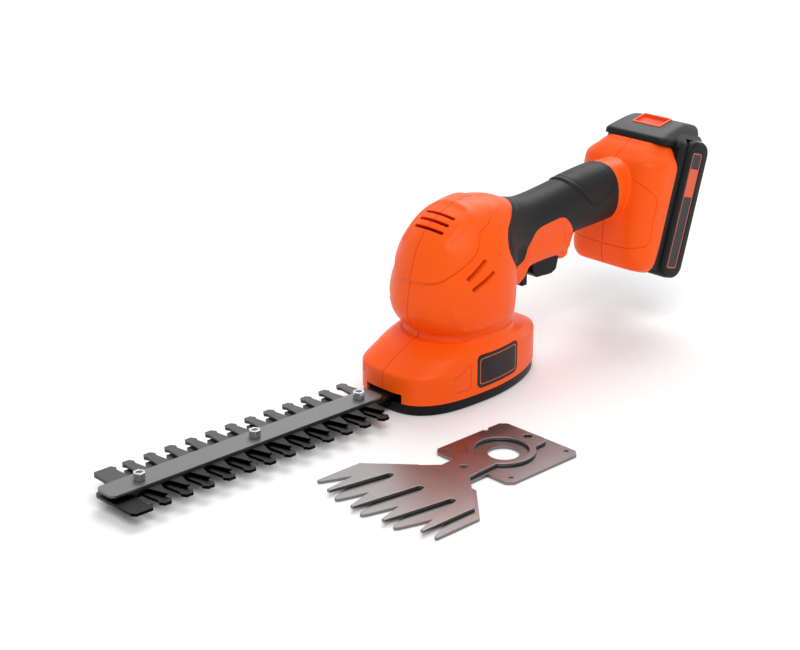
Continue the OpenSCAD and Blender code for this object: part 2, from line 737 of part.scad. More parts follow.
// Involute gear outline: flanks from the base circle to the tip
function inv(a) = tan(a) * 180 / PI - a;
function roll(rb, r) = r <= rb ? 0 : acos(rb / r);
function gear_outline(n, m) = let (rp = n * m / 2, rb = rp * cos(pressure), ra = rp + m * addendum_share,
    rf = rp - m * 1.2, r0 = max(rb, rf), half = 90 / n * (1 - thin_share) + inv(pressure))
    [for (i = [0:n - 1]) let (c = 360 * i / n) each concat(
        [let (a = c - half) [rf * cos(a - 1 / n), rf * sin(a - 1 / n)]],
        [for (k = [0:4]) let (r = mix(r0, ra, k / 4), a = c - half + inv(roll(rb, r)))
            [r * cos(a), r * sin(a)]],
        [for (k = [4:-1:0]) let (r = mix(r0, ra, k / 4), a = c + half - inv(roll(rb, r)))
            [r * cos(a), r * sin(a)]],
        [let (a = c + half) [rf * cos(a + 1 / n), rf * sin(a + 1 / n)]])];

// Steel pinion on the motor shaft
module motor_pinion() {
    color([0.7, 0.68, 0.6]) translate([motor_x, 0, gear_z]) difference() {
        linear_extrude(gear_h) polygon(gear_outline(pinion_teeth, gear_m));
        translate([0, 0, -over]) cylinder(r = shaft_r + run_fit / 2, h = gear_h + 2 * over);
    }
}

// Fan that cools the motor
module cooling_fan() {
    color([0.12, 0.12, 0.12]) translate([motor_x, 0, fan_z]) difference() {
        union() {
            cylinder(r = shaft_r * 3.2, h = fan_h);
            cylinder(r = fan_r, h = wall / 2);
            for (a = [0:36:324]) rotate(a) translate([shaft_r * 2.4, -wall / 4, wall / 4])
                cube([fan_r - shaft_r * 2.4 - gap, wall / 2, fan_h - wall / 2]);
        }
        translate([0, 0, -over]) cylinder(r = shaft_r + run_fit / 2, h = fan_h + 2 * over);
    }
}

// Drive gear with its crank pin, the pin at the foremost point
module drive_gear() {
    color([0.8, 0.78, 0.7]) translate([gear_x, 0, gear_z]) {
        difference() {
            linear_extrude(gear_h) rotate(180 / gear_teeth) polygon(gear_outline(gear_teeth, gear_m));
            translate([0, 0, gear_h / 3]) cylinder(r = axle_r + run_fit / 2, h = gear_h);
        }
        translate([-crank, 0, upper_z - gear_z + gap])
            cylinder(r = pin_r, h = gear_z - upper_z - gap + gear_h / 4);
    }
}

// Shaft pressed into the drive gear
module gear_shaft() {
    color([0.75, 0.75, 0.77]) translate([gear_x, 0, gear_z + gear_h / 3 + run_fit])
        cylinder(r = axle_r, h = plate_top - gear_z + axle_r);
}

// Bush in the gear plate that the gear shaft runs in
module shaft_bush() {
    color([0.72, 0.5, 0.2]) translate([gear_x, 0, plate_z]) difference() {
        union() {
            cylinder(r = axle_r * 1.6, h = plate_t + 2 * fit);
            translate([0, 0, plate_t + fit]) cylinder(r = axle_r * 2, h = axle_r / 2);
        }
        translate([0, 0, -over]) cylinder(r = axle_r + run_fit, h = plate_t + axle_r + 2 * over);
    }
}

// Clip on top of the gear shaft
module shaft_clip() {
    color([0.3, 0.3, 0.3]) translate([gear_x, 0, plate_top + fit + axle_r / 2 + gap]) difference() {
        cylinder(r = axle_r * 1.7, h = axle_r / 4);
        translate([0, 0, -over]) cylinder(r = axle_r + run_fit / 2, h = axle_r + 2 * over);
    }
}

// Outlines of one long tooth, one short tooth and the wide end tooth, pointing along +Y
long_shares = [[-0.17, 0.3], [0.17, 0.3], [0.113, 0.733], [0.107, 0.8], [0.147, 0.893], [0.08, 1],
    [-0.08, 1], [-0.147, 0.893], [-0.107, 0.8], [-0.113, 0.733]];
stub_shares = [[-0.22, 0.4], [0.22, 0.4], [0.13, 0.95], [0.1, 1], [-0.1, 1], [-0.13, 0.95]];
point_shares = [[-0.22, 0.4], [0.22, 0.4], [0.04, 1], [-0.04, 1]];
end_shares = [[-0.25, 0.2], [0.26, 0.2], [0.23, 0.733], [0.235, 0.8], [0.29, 0.893], [0.22, 1],
    [-0.18, 1], [-0.25, 0.9]];

module tooth(x, s, l, shares) {
    n = len(shares) - 1;
    polygon([for (i = [0:n]) let (p = shares[s > 0 ? i : n - i]) [x + p[0] * l, s * p[1] * l]]);
}

// One toothed blade from above: long teeth on side s, short ones on the other
module blade_teeth(x, s, rear_x, shares) {
    polygon(rrect(x - (tooth_n + 0.6) * pitch, rear_x, -spine_w, spine_w, spine_w * 0.4, 3));
    for (i = [0:tooth_n - 1]) tooth(x - i * pitch, s, tooth_l, long_shares);
    tooth(x - (tooth_n + 0.1) * pitch, s, tooth_l, end_shares);
    for (i = [0:tooth_n - 1]) tooth(x - (i + 0.5) * pitch, -s, short_l, shares);
}

// Fixed lower blade with its mounting plate
module lower_blade() {
    color([0.1, 0.1, 0.1]) translate([0, 0, blade_z]) difference() {
        linear_extrude(blade_t) {
            blade_teeth(tooth_x, -1, gear_x, stub_shares);
            polygon(rrect(gear_x - post_x - 1.8 * post_r, gear_x + post_x + 1.8 * post_r,
                -post_y - 2.5 * post_r, post_y + 2.5 * post_r, post_r * 4, 4));
        }
        for (x = [-post_x, post_x]) for (y = [-post_y, post_y]) translate([gear_x + x, y, -over])
            cylinder(r = post_r + fit, h = blade_t + 2 * over);
        for (x = bolts_x) translate([x, 0, -over]) cylinder(r = bolt_r + run_fit, h = blade_t + 2 * over);
    }
}

// Sliding upper blade, foremost in its stroke, with slots for the bolts
module upper_blade() {
    color([0.4, 0.4, 0.41]) translate([0, 0, upper_z]) difference() {
        linear_extrude(blade_t) {
            blade_teeth(tooth_x + blade_shift, 1, rivet_x + 3 * rivet_r, point_shares);
        }
        translate([0, 0, -over]) linear_extrude(blade_t + 2 * over) {
            for (y = [-1, 1]) translate([rivet_x, y * spine_w / 2]) circle(r = rivet_r + run_fit);
            for (x = bolts_x) polygon(rrect(x - stroke - bolt_r - gap, x + bolt_r + gap, -bolt_r - gap,
                bolt_r + gap, bolt_r, 5));
        }
    }
}

// Yoke riveted on the upper blade, with the window that the crank pin turns in
module blade_yoke() {
    color([0.5, 0.5, 0.52]) {
        translate([0, 0, yoke_z]) linear_extrude(yoke_t) difference() {
            polygon(rrect(rivet_x - 3 * rivet_r, gear_x - crank + yoke_l + 3.2 * blade_t, -crank - tang_w,
                crank + tang_w, crank / 2, 3));
            polygon(rrect(gear_x - crank - yoke_l, gear_x - crank + yoke_l, -crank - yoke_w, crank + yoke_w,
                gap, 2));
        }
        for (y = [-1, 1]) translate([rivet_x, y * spine_w / 2, upper_z])
            cylinder(r = rivet_r, h = yoke_z - upper_z + yoke_t / 2);
    }
}

// Stiffening bar over the blades
module blade_bar() {
    color([0.5, 0.5, 0.51]) translate([0, 0, bar_z]) difference() {
        linear_extrude(bar_t)
            polygon(rrect(last_x - pitch / 2, tooth_x + 1.12 * pitch, -bar_w, bar_w, bar_w / 2, 6));
        for (x = bolts_x) translate([x, 0, -over]) cylinder(r = bolt_r + run_fit, h = bar_t + 2 * over);
    }
}

// Hexagon bolts that clamp the bar over the blades
module blade_bolts() {
    color([0.75, 0.75, 0.75]) for (x = bolts_x) translate([x, 0, 0]) {
        translate([0, 0, blade_z]) cylinder(r = bolt_r, h = bar_z + bar_t + bolt_h / 2 - blade_z);
        translate([0, 0, bar_z + bar_t + run_fit]) difference() {
            cylinder(r = bolt_af / sqrt(3), h = bolt_h, $fn = 6);
            translate([0, 0, bolt_h * 0.6]) cylinder(r = bolt_af / 3, h = bolt_h, $fn = 6);
        }
    }
}

// Switch above the trigger, with its plunger
module switch_module() {
    color([0.16, 0.16, 0.17]) {
        box(switch_x, switch_x + switch_l, -switch_w, switch_w, switch_z, switch_z + switch_h);
        box(trigger_x + trigger_l / 7, trigger_x + trigger_l / 4, -switch_w / 2, switch_w / 2,
            trigger_z + plunger_share * trigger_h + gap, switch_z + switch_h / 2);
    }
}

// Side view of the trigger: shares of its length and height
trigger_shares = [[0, 0.5], [0.05, 0.2], [0.2, 0.03], [0.75, 0], [0.93, 0.1], [1, 0.42], [1, 0.93], [0.93, 1],
    [0.75, 1], [0.68, 0.73], [0, 0.73]];

// Trigger, hinged at its rear
module trigger() {
    color([0.14, 0.13, 0.13]) difference() {
        across(-trigger_w, trigger_w)
            polygon([for (s = trigger_shares) [trigger_x + s[0] * trigger_l, trigger_z + s[1] * trigger_h]]);
        rod_y(hinge_x, hinge_z, hinge_r + run_fit, -2 * trigger_w, 2 * trigger_w);
    }
}

// Hinge pin of the trigger
module trigger_pin() {
    color([0.7, 0.7, 0.72]) rod_y(hinge_x, hinge_z, hinge_r, -bow_w / 2 + wall + fit, bow_w / 2 - wall - fit);
}

// Return spring between the trigger and the switch
module trigger_spring() {
    color([0.6, 0.6, 0.6]) loft([for (i = [0:8 * spring_turns]) let (a = 45 * i,
        z = mix(spring_low, spring_top, i / (8 * spring_turns)))
        [for (j = [0:5]) let (r = spring_r + wire_r * cos(60 * j))
            [spring_x + r * cos(a), -r * sin(a), z + wire_r * sin(60 * j)]]]);
}

// Lock-off tab in front of the trigger, with a flange above the bow's skin
module lock_off() {
    color([0.12, 0.12, 0.12]) {
        box(lock_x, lock_x + lock_l, -trigger_w * 0.6, trigger_w * 0.6, lock_z,
            trigger_z + trigger_h * 0.62 + wall);
        box(lock_x, lock_x + lock_l, -trigger_w, trigger_w, trigger_z + trigger_h * 0.62 + gap,
            trigger_z + trigger_h * 0.62 + wall);
    }
}

// Sole cover under the base, open inside around the blade plate
module sole_cover() {
    color([0.05, 0.05, 0.05]) difference() {
        union() {
            difference() {
                linear_extrude(sole_h) polygon(outline(fit * 5));
                translate([0, 0, wall]) linear_extrude(sole_h) polygon(outline(2 * wall));
            }
            for (x = [-post_x, post_x]) for (y = [-post_y, post_y]) translate([gear_x + x, y, wall / 2])
                cylinder(r = post_r * 2.4, h = blade_z - gap - wall / 2);
        }
        sole_ramp();
        box(latch_x - latch_stroke - gap, latch_x + base_l, -slot_w * 0.5 - gap, slot_w * 0.5 + gap, wall,
            sole_h + over);
    }
}

// Cut under the rear of the sole, where it rises
module sole_ramp() {
    translate([base_c + base_l * 0.36, 0, 0]) rotate([0, 70, 0])
        box(0, sole_h * 2, -base_w, base_w, -base_l, base_l);
}

// Latch that holds the sole cover, at the rear
module sole_latch() {
    color([0.07, 0.07, 0.07]) difference() {
        box(latch_x, base_c + base_l * 0.5 - over, -slot_w * 0.5, slot_w * 0.5, wall + gap, sole_h);
        sole_ramp();
    }
}

// Block in the foot that carries the terminals
module terminal_block() {
    color([0.1, 0.1, 0.1]) foot_frame() difference() {
        box(-rail_d - 1.4 * wall, -wall - fit, -rail_w * 0.6, rail_w * 0.6, -foot_low + wall + fit,
            rail_low - 2 * gap);
        for (y = [-1, 0, 1]) box(-rail_d - gap - fit, -wall - rail_d / 3 + fit,
            y * rail_w / 3 - wall / 6 - fit, y * rail_w / 3 + wall / 6 + fit, rail_low - 4 * wall, rail_low);
    }
}

// Blades of the terminals
module terminal_blades() {
    color([0.8, 0.6, 0.25]) foot_frame() for (y = [-1, 0, 1])
        box(-rail_d - gap, -wall - rail_d / 3, y * rail_w / 3 - wall / 6, y * rail_w / 3 + wall / 6,
            rail_low - 3 * wall, rail_low + 4 * wall);
}

// Front of the battery: rails, front cover and domed cap
module battery_case() {
    color([0.3, 0.3, 0.3]) foot_frame() difference() {
        union() {
            box(case_x, tray_x - fit, -pack_w * 0.465, pack_w * 0.465, pack_low + tray_r / 2, pack_top);
            box(-wall - gap, case_x + over, -rail_w * 0.76, rail_w * 0.76, rail_low,
                foot_h - foot_low + 3 * gap);
            box(-rail_d - wall, -wall - gap, -rail_w, rail_w, rail_low, foot_h - foot_low + 3 * gap);
            intersection() {
                loft([for (r = cap_shares) [for (p = rrect(r[1] * pack_d, r[2] * pack_d, -r[3] * pack_w / 2,
                    r[3] * pack_w / 2, min(tray_r * 1.2, (r[2] - r[1]) * pack_d * 0.45), 5))
                    [p[0], p[1], pack_top + r[0] * cap_h]]]);
                union() {
                    box(-pack_d, tray_x - fit, -pack_w, pack_w, foot_h - foot_low + gap, foot_h);
                    box(-pack_d, pack_d * 2, -pack_w, pack_w, pack_top + fit, foot_h);
                }
            }
        }
        box(case_x + pack_wall, tray_x + over, -pack_w * 0.465 + pack_wall, pack_w * 0.465 - pack_wall,
            pack_low + tray_r / 2 + pack_wall, pack_top - 2 * pack_wall);
        for (y = [-1, 0, 1]) box(-rail_d - 2 * wall, -wall - rail_d / 3 + 2 * gap,
            y * rail_w / 3 - wall / 2 - gap, y * rail_w / 3 + wall / 2 + gap, rail_low - over,
            rail_low + 5 * wall);
        button_frame() box(-button_l / 2 - gap, button_l / 2 + gap, -button_w / 2 - gap, button_w / 2 + gap,
            -pack_wall * 3, foot_h);
    }
}

// Frame of the release button on the slope of the cap
button_lean = 61.5;
module button_frame() {
    translate([pack_d * 0.19, 0, pack_top + cap_h * 0.55]) rotate([0, button_lean - 90, 0]) children();
}

// Rear tray of the battery
module battery_tray() {
    color([0.2, 0.2, 0.2]) foot_frame() difference() {
        across(-pack_w / 2, pack_w / 2) polygon(rrect(tray_x, pack_d, pack_low, pack_top, tray_r, 6));
        box(tray_x - over, pack_d - pack_wall, -cell_l / 2 - gap, cell_l / 2 + gap,
            cell_mid - cell_n * cell_step / 2 - gap, cell_mid + cell_n * cell_step / 2 + gap);
        for (s = [-1, 1]) across(s < 0 ? -pack_w : pack_w / 2 - pack_wall / 4,
            s < 0 ? -pack_w / 2 + pack_wall / 4 : pack_w) polygon(label_outline(fit));
    }
}

function label_outline(grow) = rrect(tray_x + tray_d * 0.2 - grow, pack_d - tray_d * 0.3 + grow,
    pack_low + tray_r * 0.72 - grow, pack_top - tray_r * 0.8 + grow, tray_r * 0.3 + grow, 4);

// Bare labels on both sides of the tray
module battery_labels() {
    color([0.25, 0.25, 0.25]) foot_frame() for (s = [-1, 1])
        across(s < 0 ? -pack_w / 2 : pack_w / 2 - pack_wall / 4 + fit,
            s < 0 ? -pack_w / 2 + pack_wall / 4 - fit : pack_w / 2) polygon(label_outline(0));
}

// Five cells side by side
module battery_cells() {
    color([0.3, 0.5, 0.75]) foot_frame() for (i = [0:cell_n - 1])
        rod_y(cell_x, cell_mid + (i - (cell_n - 1) / 2) * cell_step, cell_d / 2, -cell_l / 2, cell_l / 2);
}

// Circuit board in front of the cells
module battery_board() {
    color([0.1, 0.35, 0.2]) foot_frame() box(cell_x - cell_d / 2 - fit - pack_wall,
        cell_x - cell_d / 2 - fit, -cell_l * 0.4, cell_l * 0.4, cell_mid - cell_d * 2, cell_mid + cell_d * 2);
}

// Spring contacts of the battery behind the slots
module battery_contacts() {
    color([0.8, 0.6, 0.25]) foot_frame() for (y = [-1, 0, 1]) for (s = [-1, 1])
        translate([0, y * rail_w / 3 + s * (wall / 6 + gap + wall / 8), 0])
            box(-rail_d - wall / 2, -wall - rail_d / 3, -wall / 8, wall / 8, rail_low + 2 * wall,
                rail_low + 5 * wall - fit);
}

// Release button on top of the battery
module battery_button() {
    color([0.95, 0.3, 0.1]) foot_frame() button_frame()
        linear_extrude(pack_wall * 3 - button_stroke) translate([-button_l / 2, -button_w / 2])
            square([button_l, button_w]);
}

// Comb seen from above: tooth tips lie on a shallow arc
function tip_x(y) = -comb_l * (1 - tip_drop_share * pow(2 * y / comb_w, 2));
comb_root_share = 0.72;
swing_root_share = 0.61;
comb_start_share = 0.415;

// One comb tooth tip and the root beside it, from the middle line of the tooth at y
function comb_tooth(y, last) = concat([[tip_x(y) + comb_w * 0.015, min(y + comb_w * 0.02, comb_w / 2)],
    [tip_x(y), y + comb_w * 0.008], [tip_x(y), y - comb_w * 0.008],
    [tip_x(y) + comb_w * 0.015, max(y - comb_w * 0.02, -comb_w / 2)]], last ? []
    : [for (k = [1, -1]) [-comb_l * comb_root_share, y - tooth_y / 2 + k * comb_w * 0.016]]);
// One tip of the swinging blade and the root beside it
function swing_tooth(y, last) = concat([for (k = [1, -1]) [tip_x(y), y + k * comb_w * 0.012]], last ? []
    : [for (k = [1, 0, -1]) [-comb_l * (swing_root_share - (k == 0 ? 0.01 : 0)),
        y - tooth_y / 2 + k * comb_w * 0.02]]);
comb_hole_shares = [[-0.35, 0.41], [-0.35, -0.41], [0.47, -0.38]];

// Fixed comb with its mounting plate and drive hole
module shear_comb() {
    n = comb_teeth - 1;
    color([0.45, 0.38, 0.36]) translate([shear_x, shear_y, 0]) difference() {
        linear_extrude(comb_t) {
            polygon(concat([[-comb_l * comb_start_share, -comb_w * 0.24],
                [-comb_l * comb_start_share, comb_w * 0.24], [-comb_l * 0.62, comb_w / 2]],
                [for (j = [n:-1:0]) each comb_tooth((j - n / 2) * tooth_y, j == 0)],
                [[-comb_l * 0.62, -comb_w / 2]]));
            polygon(rrect(-comb_l * (comb_start_share + 0.02), 0, -comb_w * 0.138, comb_w * 0.138,
                comb_t, 2));
            polygon(rrect(-shear_plate_l * 0.46, shear_plate_l * 0.54, -shear_plate_w / 2, shear_plate_w / 2,
                comb_t * 2, 1));
        }
        translate([0, 0, -over]) linear_extrude(comb_t + 2 * over) {
            circle(r = shear_hole);
            for (p = comb_hole_shares) translate([p[0] * shear_plate_l, p[1] * shear_plate_w])
                circle(r = pivot_r * 0.63);
            translate([shear_plate_l * 0.28, shear_plate_w / 2]) circle(r = pivot_r * 0.8);
            translate([pivot_x, 0]) circle(r = pivot_r * 0.6 + run_fit / 2);
        }
    }
}

// Swinging blade over the comb, in the pose of the photo
module shear_blade() {
    n = comb_teeth - 2;
    color([0.42, 0.34, 0.32]) translate([shear_x + pivot_x, shear_y, swing_z]) rotate(swing_rest)
        translate([-pivot_x, 0, 0]) difference() {
            linear_extrude(swing_t) {
                polygon(concat([[-comb_l * 0.36, -comb_w * 0.115], [-comb_l * 0.36, comb_w * 0.115],
                    [-comb_l * 0.6, comb_w * 0.4]],
                    [for (j = [n:-1:0]) each swing_tooth((j - n / 2) * tooth_y, j == 0)],
                    [[-comb_l * 0.6, -comb_w * 0.4]]));
                polygon(rrect(-comb_l * 0.4, 0, -comb_w * 0.115, comb_w * 0.115, comb_t, 2));
                circle(r = shear_hole * 2.15);
                polygon(rrect(0, tail_x + 2 * pivot_r, -comb_w * 0.13, comb_w * 0.13, pivot_r * 2, 3));
            }
            translate([0, 0, -over]) linear_extrude(swing_t + 2 * over) {
                circle(r = shear_hole * 1.7);
                translate([pivot_x, 0]) circle(r = pivot_r + run_fit);
                translate([tail_x, 0]) circle(r = pivot_r);
            }
        }
}

// Pivot rivet of the swinging blade
module shear_pivot() {
    color([0.2, 0.19, 0.19]) translate([shear_x + pivot_x, shear_y, 0]) {
        cylinder(r = pivot_r * 0.6, h = comb_t + fit);
        translate([0, 0, comb_t + run_fit]) cylinder(r = pivot_r, h = swing_t + fit - run_fit);
    }
}

housing_left();
housing_right();
housing_screws();
grip_left();
grip_right();
badge_plates();
gear_plate();
motor_can();
motor_endcap();
motor_armature();
motor_shaft();
motor_pinion();
motor_screws();
cooling_fan();
drive_gear();
gear_shaft();
shaft_bush();
shaft_clip();
lower_blade();
upper_blade();
blade_yoke();
blade_bar();
blade_bolts();
switch_module();
trigger();
trigger_pin();
trigger_spring();
lock_off();
sole_cover();
sole_latch();
terminal_block();
terminal_blades();
battery_case();
battery_tray();
battery_cells();
battery_board();
battery_contacts();
battery_labels();
battery_button();
shear_comb();
shear_blade();
shear_pivot();
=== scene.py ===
import math

import bpy
import numpy as np
from mathutils import Matrix, Vector


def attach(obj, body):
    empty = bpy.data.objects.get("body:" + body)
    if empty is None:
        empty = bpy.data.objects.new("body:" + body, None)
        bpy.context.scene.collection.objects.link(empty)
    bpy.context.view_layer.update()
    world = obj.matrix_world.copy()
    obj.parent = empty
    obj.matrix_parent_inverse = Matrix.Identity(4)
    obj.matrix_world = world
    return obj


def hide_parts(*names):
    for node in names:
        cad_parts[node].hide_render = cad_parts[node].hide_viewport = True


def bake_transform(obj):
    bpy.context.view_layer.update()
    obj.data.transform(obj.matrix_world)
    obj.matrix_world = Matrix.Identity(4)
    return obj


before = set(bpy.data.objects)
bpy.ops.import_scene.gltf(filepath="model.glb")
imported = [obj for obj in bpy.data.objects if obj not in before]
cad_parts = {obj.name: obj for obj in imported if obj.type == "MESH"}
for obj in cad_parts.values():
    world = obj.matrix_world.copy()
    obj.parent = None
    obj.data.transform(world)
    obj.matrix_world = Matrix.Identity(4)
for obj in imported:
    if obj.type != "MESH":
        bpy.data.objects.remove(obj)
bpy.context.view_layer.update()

# Housing: two halves moulded in orange ABS that meet on the middle line of the head, base, bow and foot.
# The outer form is skinned over measured sections, fused and rounded, then hollowed, cut and parted.
# Screws from the right hold the halves; the bosses around them stand inside.
mm = 0.001
reach = 60


def only(*objects):
    """Selects these objects alone, the first one active."""
    bpy.ops.object.select_all(action="DESELECT")
    for o in objects:
        o.select_set(True)
    bpy.context.view_layer.objects.active = objects[0]


def modified(o, kind, **settings):
    """Adds a modifier with these settings and applies it."""
    only(o)
    modifier = o.modifiers.new(kind.lower(), kind)
    for key, value in settings.items():
        setattr(modifier, key, value)
    bpy.ops.object.modifier_apply(modifier=modifier.name)
    return o


def copied(o, name):
    only(o)
    bpy.ops.object.duplicate()
    bpy.context.object.name = name
    return bpy.context.object


def cut(o, *tools, operation="DIFFERENCE", keep=False):
    """Cuts o with tool solids that stand apart, or joins or shares with them; they go unless kept."""
    only(*tools)
    if len(tools) > 1:
        bpy.ops.object.join()
    tool = bpy.context.object
    modified(o, "BOOLEAN", object=tool, operation=operation, solver="MANIFOLD")
    if not keep:
        bpy.data.objects.remove(tool)
    return o


def skin(name, rings):
    """Closed skin over rings of points in millimetres: circles are added, placed, bridged and capped."""
    count = len(rings[0])
    bpy.ops.object.select_all(action="DESELECT")
    bpy.ops.mesh.primitive_circle_add(vertices=count, radius=mm)
    o = bpy.context.object
    o.name = name
    bpy.ops.object.mode_set(mode="EDIT")
    for ring in rings[1:]:
        bpy.ops.mesh.primitive_circle_add(vertices=count, radius=mm)
    bpy.ops.object.mode_set(mode="OBJECT")
    for vertex, point in zip(o.data.vertices, [p for ring in rings for p in ring]):
        vertex.co = Vector(point) * mm
    bpy.ops.object.mode_set(mode="EDIT")
    bpy.ops.mesh.select_all(action="SELECT")
    bpy.ops.mesh.bridge_edge_loops()
    bpy.ops.mesh.select_all(action="SELECT")
    bpy.ops.mesh.fill_holes(sides=0)
    bpy.ops.mesh.select_all(action="SELECT")
    bpy.ops.mesh.normals_make_consistent(inside=False)
    bpy.ops.object.mode_set(mode="OBJECT")
    return o


def prism(name, outline, y0=-reach, y1=reach):
    """Solid between two places along Y over an outline of X and Z, in millimetres."""
    return skin(name, [[(x, y, z) for x, z in outline] for y in (y0, y1)])


def box(name, x0, x1, y0, y1, z0, z1):
    return prism(name, [(x0, z0), (x1, z0), (x1, z1), (x0, z1)], y0, y1)


def disc(x, z, r, count=32):
    return [(x + r * math.cos(2 * math.pi * i / count), z + r * math.sin(2 * math.pi * i / count))
            for i in range(count)]


def capsule(p, q, r):
    """Outline of a slot with round ends from p to q."""
    turn = math.atan2(q[1] - p[1], q[0] - p[0]) - math.pi / 2
    return [(c[0] + r * math.cos(turn + a), c[1] + r * math.sin(turn + a))
            for c, start in ((q, 0), (p, math.pi)) for a in (start + math.pi * i / 10 for i in range(11))]


def fair(rows, steps):
    """The rows with more rows between them, on a smooth curve through all of them."""
    p = np.array([rows[0], *rows, rows[-1]], float)
    out = []
    for i in range(1, len(p) - 2):
        a, b, c, d = p[i - 1 : i + 3]
        for t in np.arange(steps) / steps:
            out.append(b + t / 2 * (c - a + t * (2 * a - 5 * b + 4 * c - d + t * (3 * (b - c) + d - a))))
    return [list(r) for r in out] + [list(p[-2])]


def power(v, e):
    return math.copysign(abs(v) ** e, v)


def eased_step(v):
    """0 below 0, 1 above 1, smooth between."""
    v = np.clip(v, 0, 1)
    return v * v * (3 - 2 * v)


turns = [2 * math.pi * i / 96 for i in range(96)]
foot_at, lean = Vector((184.6, 0, 97)), math.radians(16.5)


def in_foot(p):
    """A point of the battery face's frame, in the frame of the tool."""
    return foot_at + Matrix.Rotation(lean, 3, "Y") @ Vector(p)


def foot_box(name, x0, x1, y0, y1, z0, z1):
    corners = ((x0, z0), (x1, z0), (x1, z1), (x0, z1))
    return skin(name, [[in_foot((x, y, z)) for x, z in corners] for y in (y0, y1)])


def oval(z, x0, x1, b):
    return [((x0 + x1) / 2 + (x1 - x0) / 2 * math.cos(t), b * math.sin(t), z) for t in turns]


def section(x, z0, z1, b, n=2.3):
    e = 2 / n
    middle, half = (z0 + z1) / 2, (z1 - z0) / 2
    return [(x, b * power(math.cos(t), e), middle + half * power(math.sin(t), e)) for t in turns]


base_x, base_l, base_taper, base_w = -10, 70.5, 10, 40.5
neck_x, neck_l, neck_w = .5, 39, 37.7
climb_x, climb_l, climb_h = -42, 42, 10.5
fall_x, fall_l, fall_h = 16, 36, 6.8


def base_ring(z, inset, k=0, share=0):
    """Section of the base: blunt at the front, pointed at the rear, turning into the oval neck as k grows.
    A share of 1 lifts it with the crease, which climbs from the front to the badge and falls behind it."""
    ring = []
    for t in turns:
        c, s = math.cos(t), math.sin(t)
        e = 2 / (3 if c < 0 else 1.85)
        x = base_x + (base_l + math.copysign(base_taper, c) - inset) * power(c, e)
        y = (base_w - inset) * power(s, e)
        x, y = x + (neck_x + (neck_l - inset) * c - x) * k, y + ((neck_w - inset) * s - y) * k
        lift = climb_h * eased_step((x - climb_x) / climb_l) - fall_h * eased_step((x - fall_x) / fall_l)
        ring.append((x, y, z + share * lift))
    return ring


def foot_ring(s, d, b, back, r):
    """Section of the foot: flat against the battery, rounded in front."""
    arc = [math.pi / 2 * i / 15 for i in range(16)]
    points = [(back, b * (i / 8 - 1)) for i in range(17)]
    points += [(back + (-d + r - back) * i / 8, b) for i in range(1, 8)]
    points += [(-d + r - r * math.sin(a), b - r + r * math.cos(a)) for a in arc]
    points += [(-d, (b - r) * (1 - i / 8)) for i in range(1, 16)]
    points += [(-d + r - r * math.cos(a), -b + r - r * math.sin(a)) for a in arc]
    points += [(-d + r + (back + d - r) * i / 8, -b) for i in range(1, 8)]
    return [in_foot((x, y, s)) for x, y in points]


head_x, head_z, head_l, head_w, head_h = -3.5, 48.2, 44, 42.5, 82.8
tube_x, tube_z, tube_l, tube_w, tube_h = 20, 108, 150, 18.5, 21.5
bow_x, bow_l, bow_w, bow_h, bow_edge = 26, 86, 14, 49.5, 3.2
foot_low, foot_h, foot_d, foot_w, foot_r = -53, 95, 29, 36.5, 18
head_shares = [(0, .78, .94, .87), (.036, .87, .955, .925), (.084, .94, .977, .972), (.169, 1, .989, 1),
               (.289, .989, 1, 1), (.386, .957, 1.01, .988), (.53, .875, 1.034, .941),
               (.687, .775, 1.057, .84), (.807, .614, 1.057, .72), (.892, .427, 1.034, .6),
               (.952, .17, .943, .46), (.988, -.045, .76, .31), (1, -.2, .58, .16)]
tube_shares = [(0, 1, 1.3, 1.4), (.093, .91, 1.256, 1.24), (.18, .744, 1.21, 1.08), (.267, .62, 1.186, 1),
               (.367, .64, 1.163, .973), (.5, .758, 1.116, .973), (.633, .893, 1.07, .984),
               (.767, .995, 1.023, 1), (.88, 1.023, .977, 1.016), (1, 1.023, .977, 1.016)]
bow_shares = [(0, .77, 1.36), (.093, .89, 1.29), (.186, .97, 1.18), (.256, 1, 1.12), (.326, .94, 1.14),
              (.372, .8, 1.16), (.442, .74, 1.18), (.63, .72, 1.18), (.76, .722, 1.16), (.8, .745, 1.1),
              (.83, .785, 1.05), (.855, .815, 1.02), (.876, .79, 1), (.892, .72, .97), (.915, .62, .94),
              (.94, .52, .92), (.97, .44, .9), (1, .38, .88)]
foot_shares = [(0, .45, .8), (.03, .55, .9), (.09, .655, .975), (.24, .79, 1), (.45, .9, 1),
               (.66, .965, 1), (.81, 1, 1), (.865, .91, .975), (.92, .77, .88), (.965, .62, .79),
               (1, .52, .71)]


def base_form(name, inset, low=2):
    """The base from the height low up into the neck, moved in by inset."""
    rows = [(low, inset, 0, 0), (13, inset, 0, 0), (26 - inset / 2, inset, 0, 1),
            (27.2 - inset / 2, inset + .5, 0, .95), (35.9 - inset / 2, inset, .45, .4),
            (43.4 - inset / 2, inset, 1, 0), (50, inset, 1, 0)]
    return skin(name, [base_ring(*r) for r in rows])


